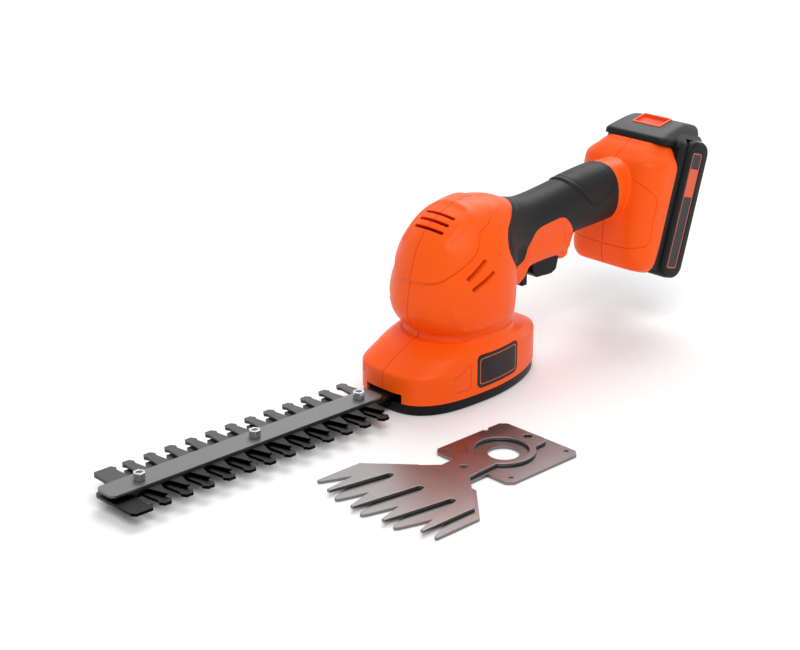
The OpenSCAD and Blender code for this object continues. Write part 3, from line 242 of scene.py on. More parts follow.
def housing_form(name, inset, skin_t, low, back, voxel, rounds):
    """Head, base, handle, bow and foot as one rounded solid, moved in by inset, more under the grip."""
    deep = inset + skin_t
    head = skin("head", [oval(head_z + h * (head_h - inset), head_x - f * head_l + inset,
                              head_x + r * head_l - inset - skin_t, b * head_w - inset - skin_t)
                         for h, f, r, b in fair(head_shares, 4)])
    tube = skin("tube", [section(tube_x + k * tube_l, tube_z - under * tube_h + deep,
                                 tube_z + top * tube_h - deep, b * tube_w - deep)
                         for k, top, under, b in fair(tube_shares, 4)])
    bow = skin("bow", [section(bow_x + k * bow_l, tube_z - drop * bow_h + inset, tube_z - inset,
                               b * bow_w - inset, bow_edge) for k, drop, b in fair(bow_shares, 4)])
    foot = skin("foot", [foot_ring(inset + foot_low + s * (foot_h - 2 * inset), d * foot_d - inset,
                                   b * foot_w - inset, back, min(foot_r, .8 * d * foot_d) - inset)
                         for s, d, b in fair(foot_shares, 3)])
    only(base_form(name, inset, low), head, tube, bow, foot)
    bpy.ops.object.join()
    o = bpy.context.object
    modified(o, "REMESH", mode="VOXEL", voxel_size=voxel * mm)
    return modified(o, "SMOOTH", factor=0.5, iterations=rounds)


def sliced(o, at, normal):
    """Cuts off what lies beyond a plane and closes the cut."""
    only(o)
    bpy.ops.object.mode_set(mode="EDIT")
    bpy.ops.mesh.select_all(action="SELECT")
    bpy.ops.mesh.bisect(plane_co=Vector(at) * mm, plane_no=normal, use_fill=True, clear_outer=True)
    bpy.ops.object.mode_set(mode="OBJECT")
    return o


def track(o, points, r):
    """A fine tube sunk in the skin of o along a smooth line near it, in millimetres."""
    spots = [o.closest_point_on_mesh(Vector(p) * mm)[1:3] for p in fair(points, 6)]
    rings = []
    for i, (place, normal) in enumerate(spots):
        ahead = (spots[min(i + 1, len(spots) - 1)][0] - spots[max(i - 1, 0)][0]).normalized()
        across = ahead.cross(normal).normalized()
        up = across.cross(ahead)
        rings.append([place / mm + r * (math.cos(a) * across + (math.sin(a) - .6) * up)
                      for a in (math.pi * k / 4 for k in range(8))])
    return skin("track", rings)


def beside(spots, line):
    """How far points of X and Z lie to the left of a line's run, less than nothing to its right."""
    near, signed = np.full(len(spots), 1e9), np.zeros(len(spots))
    for a, b in zip(line[:-1], line[1:]):
        run = b - a
        away = spots - a - np.clip((spots - a) @ run / (run @ run), 0, 1)[:, None] * run
        far = np.hypot(*away.T)
        signed = np.where(far < near, np.copysign(far, run[0] * away[:, 1] - run[1] * away[:, 0]), signed)
        near = np.minimum(near, far)
    return signed


def moved(o, amount):
    """Moves each point of o out along its normal by what amount gives for its place, in millimetres."""
    points = o.data.vertices
    spots, normals = np.empty(3 * len(points)), np.empty(3 * len(points))
    points.foreach_get("co", spots)
    points.foreach_get("normal", normals)
    spots = spots.reshape(-1, 3) / mm
    points.foreach_set("co", ((spots + normals.reshape(-1, 3) * amount(spots)[:, None]) * mm).ravel())
    o.data.update()
    return o


wall, grip_t, base_low = 2.4, 2, 7.8
outer = housing_form("outer", inset=0, skin_t=0, low=2, back=6, voxel=.85, rounds=6)
sliced(outer, (0, 0, base_low), (0, 0, -1))
sliced(outer, foot_at, (math.cos(lean), 0, -math.sin(lean)))
core = housing_form("core", inset=grip_t + .05, skin_t=0, low=7, back=0, voxel=1.4, rounds=4)
hollow = housing_form("hollow", inset=wall, skin_t=grip_t, low=5, back=-wall, voxel=1.6, rounds=2)
screw_at = [(-33.5, 66), (30, 58), (18, 116), (-20, 108), (98.9, 90), (163, 80.4), (54, 22)]
boss_r, screw_r, screw_head_r = 5.4, 1.9, 3.8
cut(hollow, *(prism("boss", disc(x, z, boss_r)) for x, z in screw_at))

# The mould's own relief: the head's visor stands proud behind a fine groove, its facets meet in soft
# ridges, the neck is drawn in under the head's lower edge, and a panel is sunk in each side of the bow.
visor = [(-44, 0, 84.8), (-40.9, 15, 85.6), (-36.9, 21.5, 87.6), (-32.1, 26, 91.6), (-24.4, 29.8, 97.7),
         (-17, 31.8, 103.4), (-11.9, 30.7, 108.9), (-9.2, 28, 114.6), (-6.1, 26.8, 117.2),
         (2.3, 25.5, 121.1), (7.9, 22.4, 124.5), (11.1, 18.7, 127.3), (13.7, 10.9, 130.4), (15, 0, 131.2)]
visor_line = np.array(fair([(-52, 83.2), (-48, 84), *((x, z) for x, y, z in visor), (15.3, 134)], 5))
head_edge = np.array(fair([(-60, 46.6), (-48, 46.9), (-37, 47.8), (-25, 49.5), (-13, 52.5), (-4, 56),
                           (14, 55), (30, 51.5), (46, 49.8), (60, 49.4)], 5))
band_edge = np.array(fair([(-60, 43.4), (-47, 43.3), (-34, 43.2), (-20, 44.3), (-5, 46.9), (16, 46.6),
                           (32, 45), (46, 44.4), (60, 44)], 5))
ridges = [(np.array(fair(line, 5)), height) for line, height in (
    ([(-25.2, 34.4, 84.1), (-34.4, 29.7, 72), (-33.3, 31.1, 64.2), (-26.8, 33, 54.2)], .7),
    ([(-3.5, 1.8, 129.3), (-4.3, 12.1, 127.4), (-8.8, 16.5, 124.1), (-21.4, 18.5, 116),
      (-28.2, 17.2, 110.3), (-29.6, 18.6, 107.5)], .9))]
bow_panel = np.array(fair([(57.5, 74), (58.8, 81.9), (60, 88.5), (62.3, 93.6), (67.5, 96), (75.7, 97),
                           (83, 98), (88.5, 97.6), (92.5, 95), (96, 91.5), (99, 87.5), (101, 83),
                           (102.5, 77)], 4))
visor_h, visor_slope = 1.6, 1.2
neck_depth, neck_slope = 1.5, 1.1
ridge_r = 3.2
bow_depth, bow_slope = .9, 2


def relief(spots):
    """How far the relief stands out at each place; what is sunk is less than nothing."""
    x, y, z = spots.T
    flat, folded = spots[:, (0, 2)], np.column_stack((x, abs(y), z))
    out = visor_h * eased_step(beside(flat, visor_line) / visor_slope + .5)
    out = out - neck_depth * (eased_step(.5 - beside(flat, head_edge) / neck_slope)
                              * eased_step(.5 + beside(flat, band_edge) / neck_slope))
    for line, height in ridges:
        away = np.min([np.linalg.norm(folded - p, axis=1) for p in line], axis=0)
        out = out + height * np.exp(-(away / ridge_r) ** 2)
    on_head = eased_step((52 - x) / 8) * (z > 38)
    on_bow = eased_step((abs(y) - 6) / 4) * eased_step((z - 73) / 4) * (abs(x - 80) < 32) * (z < 101)
    sunk = eased_step(.5 - beside(flat, bow_panel) / bow_slope)
    return out * on_head - bow_depth * sunk * on_bow


moved(outer, relief)
panel = [(153.9, 0, 66.8), (154.5, 14, 67.2), (156.3, 27, 68.2), (164.6, 35.4, 71.9), (167.7, 36, 88),
         (171, 36, 103.8), (163.9, 30, 113.4), (159.9, 20, 118.6)]
wedge = [(-41, 38.4, 23.4), (-33, 39.6, 27.4), (-26.6, 39.8, 30.2), (-26.4, 40, 22), (-26.9, 40, 14),
         (-33, 39.6, 13.4), (-40, 38.6, 13.6)]
neck = [(40.6, .6, 50.2), (37, 14, 50.8), (28, 27, 52), (14, 37.8, 55), (-4, 41.4, 56),
        (-13.3, 38.4, 52.5), (-24.9, 29.7, 49.5), (-36.9, 10.6, 47.9), (-38.4, .6, 47.2)]
groove_r = .4
cut(outer, track(outer, [(x, -y, z) for x, y, z in panel[:0:-1]] + panel, groove_r),
    *(track(outer, [(x, side * y, z) for x, y, z in points], groove_r)
      for side in (-1, 1) for points in (wedge, neck, visor[1:-1])))

# The grip's recess is sunk in the halves, and the right half keeps a land round the screw on the grip's
# edge. The halves are then hollowed, and slots and screw holes are cut before they are parted.
shell = copied(outer, "shell")
grip_edge = [(47, 127.5), (40.9, 124.2), (34.5, 120.6), (27, 118), (19.6, 114.6), (15, 108.5),
             (13.8, 101.5), (16.2, 95), (20.8, 89), (26, 84), (32, 80.4), (38, 78.4), (44.5, 78.2),
             (50.4, 81), (53.2, 87), (55.2, 93.5), (58.4, 99.4), (64.5, 102.3), (72.2, 103.4), (79, 104.2),
             (86, 104.7), (91.5, 103), (95.8, 99), (99.8, 94.8), (104, 90), (107.5, 84), (110.4, 77),
             (112, 69.3)]
grip_low, grip_high, grip_end = 69.3, 142, 148
grip_zone = [(50, grip_high), *fair(grip_edge, 5), (grip_end, grip_low), (grip_end, grip_high)]
land_at, land_r = screw_at[2], 5.6
recess = cut(prism("recess", grip_zone), core, keep=True)
cut(shell, cut(recess, prism("screw_land", disc(*land_at, land_r), 0, reach)))
cut(shell, hollow)


def slot_tool(x, z, turn, w, l, d):
    """Round-ended slot across the tool, sunk along a leaning line."""
    spin = Matrix.Rotation(math.radians(turn), 3, "Y")
    return skin("vent", [[Vector((x, 0, z)) + spin @ Vector((a, b, h)) for b, a in
                          capsule((-l / 2 + w / 2, 0), (l / 2 - w / 2, 0), w / 2)] for h in (-d, d)])


vent_w, vent_l, vent_d, side_vent_r = 2.4, 27, 6, 1.4
vents = [slot_tool(head_x - 2 * head_l * (.136 + .062 * k), head_z + head_h * (.905 - .042 * k),
                   -40 - 6 * k, vent_w, vent_l, vent_d) for k in range(3)]
vents += [prism("vent", capsule(p, q, side_vent_r), *sorted((side * 26, side * 55))) for side in (-1, 1)
          for p, q in (((-23.5, 89), (-10.6, 99.2)), ((-21.5, 82), (-6, 91)))]
cut(shell, *vents, box("blade_mouth", -141, -35.2, -16.8, 16.8, 6, 14.3),
    box("trigger_slot", 66.3, 95.9, -8.9, 8.9, 50, 80),
    foot_box("rails", -9.2, -2.9, -24.4, 24.4, -37.5, 95),
    box("notch", -90, -66.8, 19.7, 22.3, 19.7, 26.8))
cut(shell, box("lock_slot", 56.6, 66.6, -5.5, 5.5, 50, 74),
    foot_box("rail_slot", -3.4, 1, -18.6, 18.6, -37.5, 95),
    *(prism("screw", disc(x, z, screw_r), -9, 10) for x, z in screw_at))
cut(shell, box("lock_flange", 56.6, 66.6, -8.9, 8.9, 73.6, 76.9),
    *(prism("screw_recess", disc(x, z, screw_head_r), 9, reach) for x, z in screw_at))
badge_x, badge_z, badge_r = 1.6, 23.3, 4.5
badge_zone = [(badge_x + math.copysign(17.7, math.cos(t)) + badge_r * math.cos(t),
               badge_z + math.copysign(7.4, math.sin(t)) + badge_r * math.sin(t)) for t in turns]
cut(shell, cut(prism("badge_recess", badge_zone), base_form("under", .75)))


def halved(o, left_name, right_name, gap):
    """Parts o on the tool's middle plane in a left and a right piece, each that gap from the plane."""
    left = cut(copied(o, left_name), box("right_side", -200, 250, -gap, 80, -10, 200))
    right = cut(o, box("left_side", -200, 250, -80, gap, -10, 200))
    right.name = right_name
    return left, right


def shaded(o, turn):
    """Smooth shading but for edges that turn by more degrees than this."""
    only(o)
    bpy.ops.object.shade_smooth_by_angle(angle=math.radians(turn))


housing_left, housing_right = halved(shell, "housing_left_skin", "housing_right_skin", .26)
for o, node in ((housing_left, "housing_left"), (housing_right, "housing_right")):
    shaded(o, 40)
    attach(o, "housing")
    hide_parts(node)


class Value:
    """A shader socket that takes part in sums; an operator adds the Math node for it."""

    def __init__(self, tree, socket):
        self.tree, self.socket = tree, socket

    def node(self, kind, output, inputs, **settings):
        """Any other node, with its inputs by name or number and its settings; gives the named output."""
        made = self.tree.nodes.new(kind)
        for key, value in settings.items():
            setattr(made, key, value)
        for key, value in inputs.items():
            slot = made.inputs[key]
            if isinstance(value, Value):
                self.tree.links.new(value.socket, slot)
            else:
                slot.default_value = value
        return Value(self.tree, made.outputs[output])

    def math(self, operation, a, b=0.0, c=0.0):
        return self.node("ShaderNodeMath", 0, {0: a, 1: b, 2: c}, operation=operation)

    def __add__(self, other):
        return self.math("ADD", self, other)

    def __radd__(self, other):
        return self.math("ADD", other, self)

    def __sub__(self, other):
        return self.math("SUBTRACT", self, other)

    def __rsub__(self, other):
        return self.math("SUBTRACT", other, self)

    def __mul__(self, other):
        return self.math("MULTIPLY", self, other)

    def __rmul__(self, other):
        return self.math("MULTIPLY", other, self)

    def __abs__(self):
        return self.math("ABSOLUTE", self)

    def __gt__(self, other):
        return self.math("GREATER_THAN", self, other)

    def __lt__(self, other):
        return self.math("LESS_THAN", self, other)


def tone(r, g, b):
    """Linear colour of a colour read off a picture, 0 to 255."""
    return (*((c / 255 / 12.92 if c < 10 else ((c / 255 + .055) / 1.055) ** 2.4) for c in (r, g, b)), 1)


class Finish:
    """A new procedural material, with its shader, its tree and the place on the object as X, Y and Z."""

    def __init__(self, name, rough, metal=0.0):
        self.material = bpy.data.materials.new(name)
        self.material.use_nodes = True
        tree = self.material.node_tree
        self.shader = tree.nodes["Principled BSDF"]
        self.shader.inputs["Metallic"].default_value = metal
        self.shader.inputs["Roughness"].default_value = rough
        self.shader.inputs["Specular IOR Level"].default_value = .5 if metal else .18
        self.place = Value(tree, tree.nodes.new("ShaderNodeTexCoord").outputs["Object"])
        self.x, self.y, self.z = (self.place.node("ShaderNodeSeparateXYZ", i, {0: self.place})
                                  for i in range(3))
        self.rough = rough

    def noise(self, scale, stretch=(1, 1, 1)):
        drawn = self.place.node("ShaderNodeVectorMath", 0, {0: self.place, 1: stretch},
                                operation="MULTIPLY")
        return self.place.node("ShaderNodeTexNoise", 0, {"Vector": drawn, "Scale": scale, "Detail": 3.0})

    def mix(self, share, a, b):
        return self.place.node("ShaderNodeMix", 2, {0: share, 6: a, 7: b},
                               data_type="RGBA", clamp_factor=True)

    def step(self, value, low, high):
        """0 below low, 1 above high, smooth between."""
        return self.place.node("ShaderNodeMapRange", 0, {0: value, 1: low, 2: high},
                               interpolation_type="SMOOTHSTEP")

    def wear(self, scale, spread, stretch=(1, 1, 1)):
        """Roughness that varies by spread either way."""
        return self.give("Roughness", self.rough + (self.noise(scale, stretch) - .5) * (2 * spread))

    def grain(self, scale, depth, stretch=(1, 1, 1)):
        """Fine relief of that depth in metres."""
        height = self.noise(scale, stretch)
        return self.give("Normal", self.place.node("ShaderNodeBump", 0, {
            "Height": height, "Distance": depth, "Strength": 1.0}))

    def give(self, socket, value):
        self.place.tree.links.new(value.socket, self.shader.inputs[socket])
        return self

    def paint(self, *objects):
        for o in objects:
            o.data.materials.clear()
            o.data.materials.append(self.material)


orange = Finish("orange_abs", .37)
orange.give("Base Color", orange.mix(orange.noise(18), tone(252, 88, 10), tone(255, 95, 15)))
orange.wear(60, .04).grain(2600, 2e-5).paint(housing_left, housing_right)

# Grip: soft black rubber moulded over the handle, 2 mm thick, in two skins that meet on the seam.
# A raised palm panel covers its rear; a double line rims the panel, and one follows the grip's front edge.
panel_line = np.array(fair([(103.4, 136), (103.5, 130), (103.8, 125.4), (105.3, 122.9), (107.4, 120.4),
                            (110.1, 117.3), (113, 113.9), (115.8, 110.8), (118.6, 108.6), (121.6, 108.2),
                            (127.4, 109.3), (134, 110.8), (139.5, 113.6), (143.2, 117.4), (145, 121.8),
                            (145.6, 126), (145.4, 130), (145, 136)], 4))
front_line = np.array(fair(grip_edge, 5))
palm_h, palm_slope = .9, 1.3
rim_at, rim_depth = (-.9, 3.3), (.5, .4)
front_at, front_depth = 3.6, .6
line_r, grip_gap = .8, .1


def groove(away):
    """Depth of a soft groove, as a share, at places that lie this far from its middle."""
    return np.exp(-(away / line_r) ** 2)


def palm(spots):
    """The palm panel stands proud, with two grooves along its rim; another follows the front edge."""
    x, flat = spots[:, 0], spots[:, (0, 2)]
    over = beside(flat, panel_line)
    panel_out = palm_h * eased_step(over / palm_slope + .5)
    for at, depth in zip(rim_at, rim_depth):
        panel_out = panel_out - depth * groove(over - at)
    front = groove(beside(flat, front_line) - front_at) * ((x < 42) | (spots[:, 2] > 112))
    return panel_out * (x > 60) - front_depth * front


grip = moved(copied(outer, "grip"), palm)
cut(grip, core)
inner_zone = [(x + (.25 if x < 60 else 0), z) for x, z in grip_zone]
cut(grip, prism("zone", inner_zone), operation="INTERSECT")
cut(grip, box("foot_side", grip_end, 260, -80, 80, 0, 200))
cut(grip, prism("screw_land", disc(*land_at, land_r + grip_gap), 0, reach))
grip_left, grip_right = halved(grip, "grip_left_skin", "grip_right_skin", .08)
rubber = Finish("grip_rubber", .5)
rubber.give("Base Color", rubber.mix(rubber.noise(30), tone(25, 24, 24), tone(31, 30, 30)))
rubber.wear(80, .05).grain(1800, 6e-5).paint(grip_left, grip_right)
for o, node in ((grip_left, "grip_left"), (grip_right, "grip_right")):
    shaded(o, 40)
    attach(o, "housing")
    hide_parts(node)
bpy.data.objects.remove(outer)

# Badge plates: dark plates sunk in both sides of the base, bare but for a thin orange line
# near the edge. They follow the base's curve.
plate = [(badge_x + (x - badge_x) * .985, badge_z + (z - badge_z) * .97) for x, z in badge_zone]
badge = cut(prism("badge_plates_skin", plate), base_form("under", .7))
cut(badge, base_form("over", -.1), operation="INTERSECT")
shaded(badge, 40)
line_x, line_z, line_round, line_half = 19.4 * mm, 9.2 * mm, 4 * mm, .28 * mm
dark = Finish("badge_dark", .45)
in_x, in_z = line_x - abs(dark.x - badge_x * mm), line_z - abs(dark.z - badge_z * mm)
line = abs(in_x.math("SMOOTH_MIN", in_x, in_z, line_round)) < line_half
dark.give("Base Color", dark.mix(line, dark.mix(dark.noise(90), tone(36, 30, 29), tone(44, 37, 36)),
                                 tone(214, 108, 74)))
dark.wear(120, .05).grain(2200, 2e-5).paint(badge)
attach(badge, "housing")
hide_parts("badge_plates")

# Sole cover: black plastic tray clipped under the base, open inside around the blade's plate.
# Its rear rises, and the latch that frees it sits there.
sole_rows = ((0, 2), (.5, 1.2), (1.4, .75), (7.4, .75))
sole = skin("sole_cover_skin", [base_ring(*row) for row in sole_rows])
cut(sole, skin("room", [base_ring(wall, 2 * wall), base_ring(9, 2 * wall)]))
post_r, post_h, post_z = 3.84, 6.4, 4.4
for x in (-61.2, -9.2):
    for y in (-21, 21):
        bpy.ops.mesh.primitive_cylinder_add(vertices=32, radius=post_r * mm, depth=post_h * mm,
                                            location=(x * mm, y * mm, post_z * mm))
        post = bpy.context.object
        bpy.ops.object.transform_apply(location=True)
        cut(sole, post, operation="UNION")
cut(sole, prism("ramp", [(50.76, 0), (110, 21.56), (110, -3), (50.76, -3)]))
cut(sole, box("latch_room", 52.1, 100, -8.8, 8.8, wall, 9))
black = Finish("black_plastic", .42)
black.give("Base Color", black.mix(black.noise(40), tone(9, 8, 8), tone(14, 13, 13)))
black.wear(70, .05).grain(2400, 2e-5).paint(sole)
shaded(sole, 35)
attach(sole, "sole")
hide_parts("sole_cover")


def softened(node, name, voxel=0, rounds=0):
    """The CAD node's shape as a merged copy; given a voxel size, its edges are rounded by remeshing."""
    o = copied(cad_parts[node], name)
    o.parent = None
    for key in list(o.keys()):
        del o[key]
    o.data.materials.clear()
    only(o)
    bpy.ops.object.mode_set(mode="EDIT")
    bpy.ops.mesh.select_all(action="SELECT")
    bpy.ops.mesh.remove_doubles(threshold=1e-6)
    bpy.ops.object.mode_set(mode="OBJECT")
    if voxel:
        modified(o, "REMESH", mode="VOXEL", voxel_size=voxel * mm)
        modified(o, "SMOOTH", factor=0.5, iterations=rounds)
        shaded(o, 50)
    return o


latch = softened("sole_latch", "sole_latch_skin", .4, 3)
black.paint(latch)
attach(latch, "latch")
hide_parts("sole_latch")

# Trigger and lock-off tab: black plastic, both edges well rounded for the finger. The trigger turns on a
# pin in the bow; the tab in front of it slides forward before the trigger can be pulled.
for node, body, rounds in (("trigger", "trigger_body", 16), ("lock_off", "lock_tab", 5)):
    o = softened(node, node + "_skin", .45, rounds)
    black.paint(o)
    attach(o, body)
    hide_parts(node)

# Trigger spring: a coil of steel wire between the trigger and the switch. It is kept as one fixed piece;
# it does not ride on the trigger or close up when the trigger is pulled.
spring = softened("trigger_spring", "trigger_spring_skin")
bpy.ops.object.shade_smooth()
wire = Finish("spring_wire", .3, 1)
wire.give("Base Color", wire.mix(wire.noise(600), tone(150, 150, 152), tone(188, 188, 190)))
wire.wear(600, .06).grain(1200, 1.5e-5).paint(spring)
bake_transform(spring)
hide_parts("trigger_spring")

# Shrub blade: a darker lower comb fixed to the gear plate, an upper comb that slides on it, and a grey
# spring-steel bar on top, held by three bright hexagon bolts. All are stamped, with bare ground edges.
# The near teeth of both combs are painted near black, which is painted shade; their far teeth are grey.
def eased(node, name, width):
    """The CAD node's shape with its sharp edges broken: a merged copy with a small bevel."""
    o = softened(node, name)
    bpy.ops.object.mode_set(mode="EDIT")
    bpy.ops.mesh.select_all(action="SELECT")
    bpy.ops.mesh.dissolve_limited(angle_limit=math.radians(1))
    bpy.ops.object.mode_set(mode="OBJECT")
    modified(o, "BEVEL", width=width * mm, segments=1, limit_method="ANGLE", angle_limit=math.radians(30))
    bpy.ops.object.shade_smooth()
    return modified(o, "WEIGHTED_NORMAL", mode="FACE_AREA", weight=100)


def blade_steel(name, rough, from_y, to_y, near, dark, light):
    """Steel brushed along the blade; the near teeth get one dark tone, which is painted shade, the far
    teeth two.
    """
    steel = Finish(name, rough, 1)
    far_share = steel.step(steel.y, from_y * mm, to_y * mm)
    grey = steel.mix(steel.noise(900, (.04, 1, 1)), dark, light)
    steel.give("Base Color", steel.mix(far_share, near, grey))
    return steel.wear(700, .08, (.05, 1, 1)).grain(1500, 1.5e-5, (.05, 1, 1))


# The near tones below, near black, are painted shade on each comb's near teeth.
lower_steel = blade_steel("lower_blade_steel", .34, -12, 3, tone(10, 10, 10), tone(46, 46, 47),
                          tone(60, 60, 61))
upper_steel = blade_steel("upper_blade_steel", .36, -13, -4, tone(12, 12, 12), tone(60, 60, 61),
                          tone(76, 76, 77))
bar_steel = Finish("bar_steel", .46, 1)
brushed = bar_steel.noise(2600, (.02, 1, 1))
bar_steel.give("Base Color", bar_steel.mix(brushed, tone(94, 94, 95), tone(108, 108, 109)))
bar_steel.wear(2600, .05, (.02, 1, 1)).grain(3000, 4e-6, (.02, 1, 1))
bright_steel = Finish("fastener_steel", .24, 1)
cloudy = bright_steel.noise(400)
bright_steel.give("Base Color", bright_steel.mix(cloudy, tone(176, 176, 178), tone(214, 214, 216)))
bright_steel.wear(500, .06)
for node, body, finish, slot, width in (("lower_blade", "housing", lower_steel, "lower_blade_steel", .22),
                                        ("upper_blade", "cutter", upper_steel, "upper_blade_steel", .22),
                                        ("blade_bar", "housing", bar_steel, "bar_steel", .3),
                                        ("blade_bolts", "housing", bright_steel, "fastener_steel", .25)):
    o = eased(node, node + "_skin", width)
    finish.paint(o)
    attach(o, body)
    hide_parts(node)

# Battery pack: a dark moulded case that slides on the foot's rails, its domed cap over the foot and a
# black tray for the cells behind. Each side of the tray has a bare label with an orange line and block.
def rounded(x, y, r, count=24):
    """Corner points of a rounded rectangle about the origin, of half sizes x and y."""
    return [(math.copysign(x - r, math.cos(t)) + r * math.cos(t),
             math.copysign(y - r, math.sin(t)) + r * math.sin(t))
            for t in ((i + .5) * math.pi / count * .5 for i in range(4 * count))]


def pack_ring(q, s, y, half_q, half_s, r):
    """A rounded outline on the pack's side, at a place across the pack."""
    return [in_foot((q + a, y, s + b)) for a, b in rounded(half_q, half_s, r)]


button_at, button_lean = Vector((6.84, 0, 55.43)), math.radians(-28.5)


def button_ring(h, half_l, half_w, r):
    """A rounded outline in the frame of the release button, at a height along its stroke."""
    lean_back = Matrix.Rotation(button_lean, 3, "Y")
    return [in_foot(button_at + lean_back @ Vector((a, b, h))) for a, b in rounded(half_l, half_w, r)]


def cap_form(name, rows, r):
    """Skin over rounded sections that each have a height, a front, a rear and a half width."""
    return skin(name, [[in_foot(((x0 + x1) / 2 + a, b, z)) for a, b in rounded((x1 - x0) / 2, w, r)]
                       for z, x0, x1, w in fair(rows, 3)])


cap_z, pack_x = 42.3, 34.9
cap = cap_form("cap", [(cap_z, -13.8, pack_x, 28.4), (45, -14, pack_x, 28.4), (46.7, -13.4, 34.8, 28.1),
                       (48, -11.7, 34.7, 27.7), (50.6, -7.4, 34.5, 27.2), (53.8, -1.7, 34.2, 26.7),
                       (56.8, 3.9, 33.6, 26), (59, 8.2, 32.6, 25), (60.4, 11.6, 31, 23.4),
                       (60.8, 15, 29, 21)], 6)
shoulder = cap_form("shoulder", [(cap_z, .6, pack_x, 33.7), (45, 1, pack_x, 33.4), (48, 2, pack_x, 31.6),
                                 (51, 4, pack_x, 29), (53, 6, pack_x, 27)], 4)
cut(cap, shoulder, operation="UNION")
cut(cap, foot_box("tray_side", 10.25, 60, -reach, reach, 30, 49.75))
case = cut(softened("battery_case", "battery_case_skin"),
           foot_box("old_cap", -30, 60, -reach, reach, cap_z - .05, 90))
cut(case, cap, operation="UNION")
cut(case, skin("button_well", [button_ring(h, 8.05, 13.3, 1.5) for h in (-6, 30)]))
modified(case, "BEVEL", width=.5 * mm, segments=2, limit_method="ANGLE", angle_limit=math.radians(35))
shaded(case, 32)
dark_case = Finish("battery_grey", .46)
# The cap's top is painted a lighter grey than the near-black case below it: painted light on the top.
height = (dark_case.x - foot_at.x * mm) * math.sin(lean) + (dark_case.z - foot_at.z * mm) * math.cos(lean)
plain = dark_case.mix(dark_case.noise(35), tone(12, 12, 12), tone(17, 17, 17))
cap_top_painted_light = dark_case.step(height, 45 * mm, 49 * mm)
dark_case.give("Base Color", dark_case.mix(cap_top_painted_light, plain, tone(66, 66, 67)))
dark_case.wear(90, .05).grain(2300, 2.5e-5).paint(case)
tray_at, tray_half, tray_r = (23.2, -2.4), (12.8, 52), 10
label_at, label_half, label_r, label_gap = (21.92, -2.8), (6.4, 44.4), 3, .15
tray_side = ((36.2, 2.6), (35.95, 1.7), (35.3, .8), (34.2, .2), (32.6, 0))
tray = skin("battery_tray_skin", [pack_ring(*tray_at, y, *(half - d for half in tray_half), tray_r - d)
                                  for y, d in [(-y, d) for y, d in tray_side] + list(tray_side[::-1])])
cut(tray, foot_box("cell_room", 9, 34, -32.8, 32.8, -48.7, 43.3))
for side in (-1, 1):
    room_half = [half + label_gap for half in label_half]
    cut(tray, skin("label_room", [pack_ring(*label_at, side * y, *room_half, label_r + .1)
                                  for y in (35.4, 38)]))
shaded(tray, 32)
dark_tray = Finish("tray_black", .48)
dark_tray.give("Base Color", dark_tray.mix(dark_tray.noise(35), tone(14, 14, 14), tone(19, 19, 19)))
dark_tray.wear(90, .05).grain(2300, 2.5e-5).paint(tray)
only(*(skin("label", [pack_ring(*label_at, side * y, *(half - d for half in label_half), label_r - d)
                      for y, d in ((35.45, 0), (35.8, 0), (35.95, .15))]) for side in (-1, 1)))
bpy.ops.object.join()
label = bpy.context.object
label.name = "battery_labels_skin"
shaded(label, 30)
line_in, line_round, line_half = 1.2 * mm, 2 * mm, .32 * mm
block_s, block_half = 18.5 * mm, 10.5 * mm
print_dark = Finish("label_print", .38)
dx, dz = print_dark.x - foot_at.x * mm, print_dark.z - foot_at.z * mm
q = dx * math.cos(lean) - dz * math.sin(lean) - label_at[0] * mm
s = dx * math.sin(lean) + dz * math.cos(lean)
in_q = label_half[0] * mm - line_in - abs(q)
in_s = label_half[1] * mm - line_in - abs(s - label_at[1] * mm)
edge_line = abs(in_q.math("SMOOTH_MIN", in_q, in_s, line_round)) < line_half
block = (in_q > 0) * (abs(s - block_s) < block_half)
printed = edge_line.math("MAXIMUM", edge_line, block)
plain = print_dark.mix(print_dark.noise(120), tone(50, 49, 49), tone(60, 59, 59))
print_dark.give("Base Color", print_dark.mix(printed, plain, tone(226, 96, 62)))
print_dark.wear(200, .05).paint(label)
button = skin("battery_button_skin", [button_ring(*row) for row in (
    (0, 7.75, 13, 1.2), (2.9, 7.75, 13, 1.2), (3.3, 7.6, 12.85, 1.1), (3.5, 7.3, 12.55, 1))])
cut(button, skin("scoop", [button_ring(*row) for row in (
    (1, 5.2, 10.4, .6), (1.3, 5.9, 11.1, .8), (3.2, 6.7, 11.95, .9), (3.5, 7, 12.25, 1),
    (4.5, 7.4, 12.6, 1))]))
shaded(button, 40)
button_orange = Finish("button_orange", .4)
stroke = Matrix.Rotation(lean + button_lean, 3, "Y") @ Vector((0, 0, 1))
start = in_foot(button_at) * mm
rise = (button_orange.x - start.x) * stroke.x + (button_orange.z - start.z) * stroke.z
plain = button_orange.mix(button_orange.noise(80), tone(238, 60, 8), tone(246, 70, 14))
# The raised rim is painted pale orange: a painted highlight along the button's edge.
rim_painted_highlight = button_orange.step(rise, 2.9 * mm, 3.3 * mm)
button_orange.give("Base Color", button_orange.mix(rim_painted_highlight, plain, tone(255, 150, 104)))
button_orange.wear(150, .05).grain(2500, 2e-5).paint(button)
for o, node, body, slot in ((case, "battery_case", "battery", "battery_grey"),
                            (tray, "battery_tray", "battery", "battery_grey"),
                            (label, "battery_labels", "battery", "label_dark"),
                            (button, "battery_button", "release_button", "button_orange")):
    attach(o, body)
    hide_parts(node)

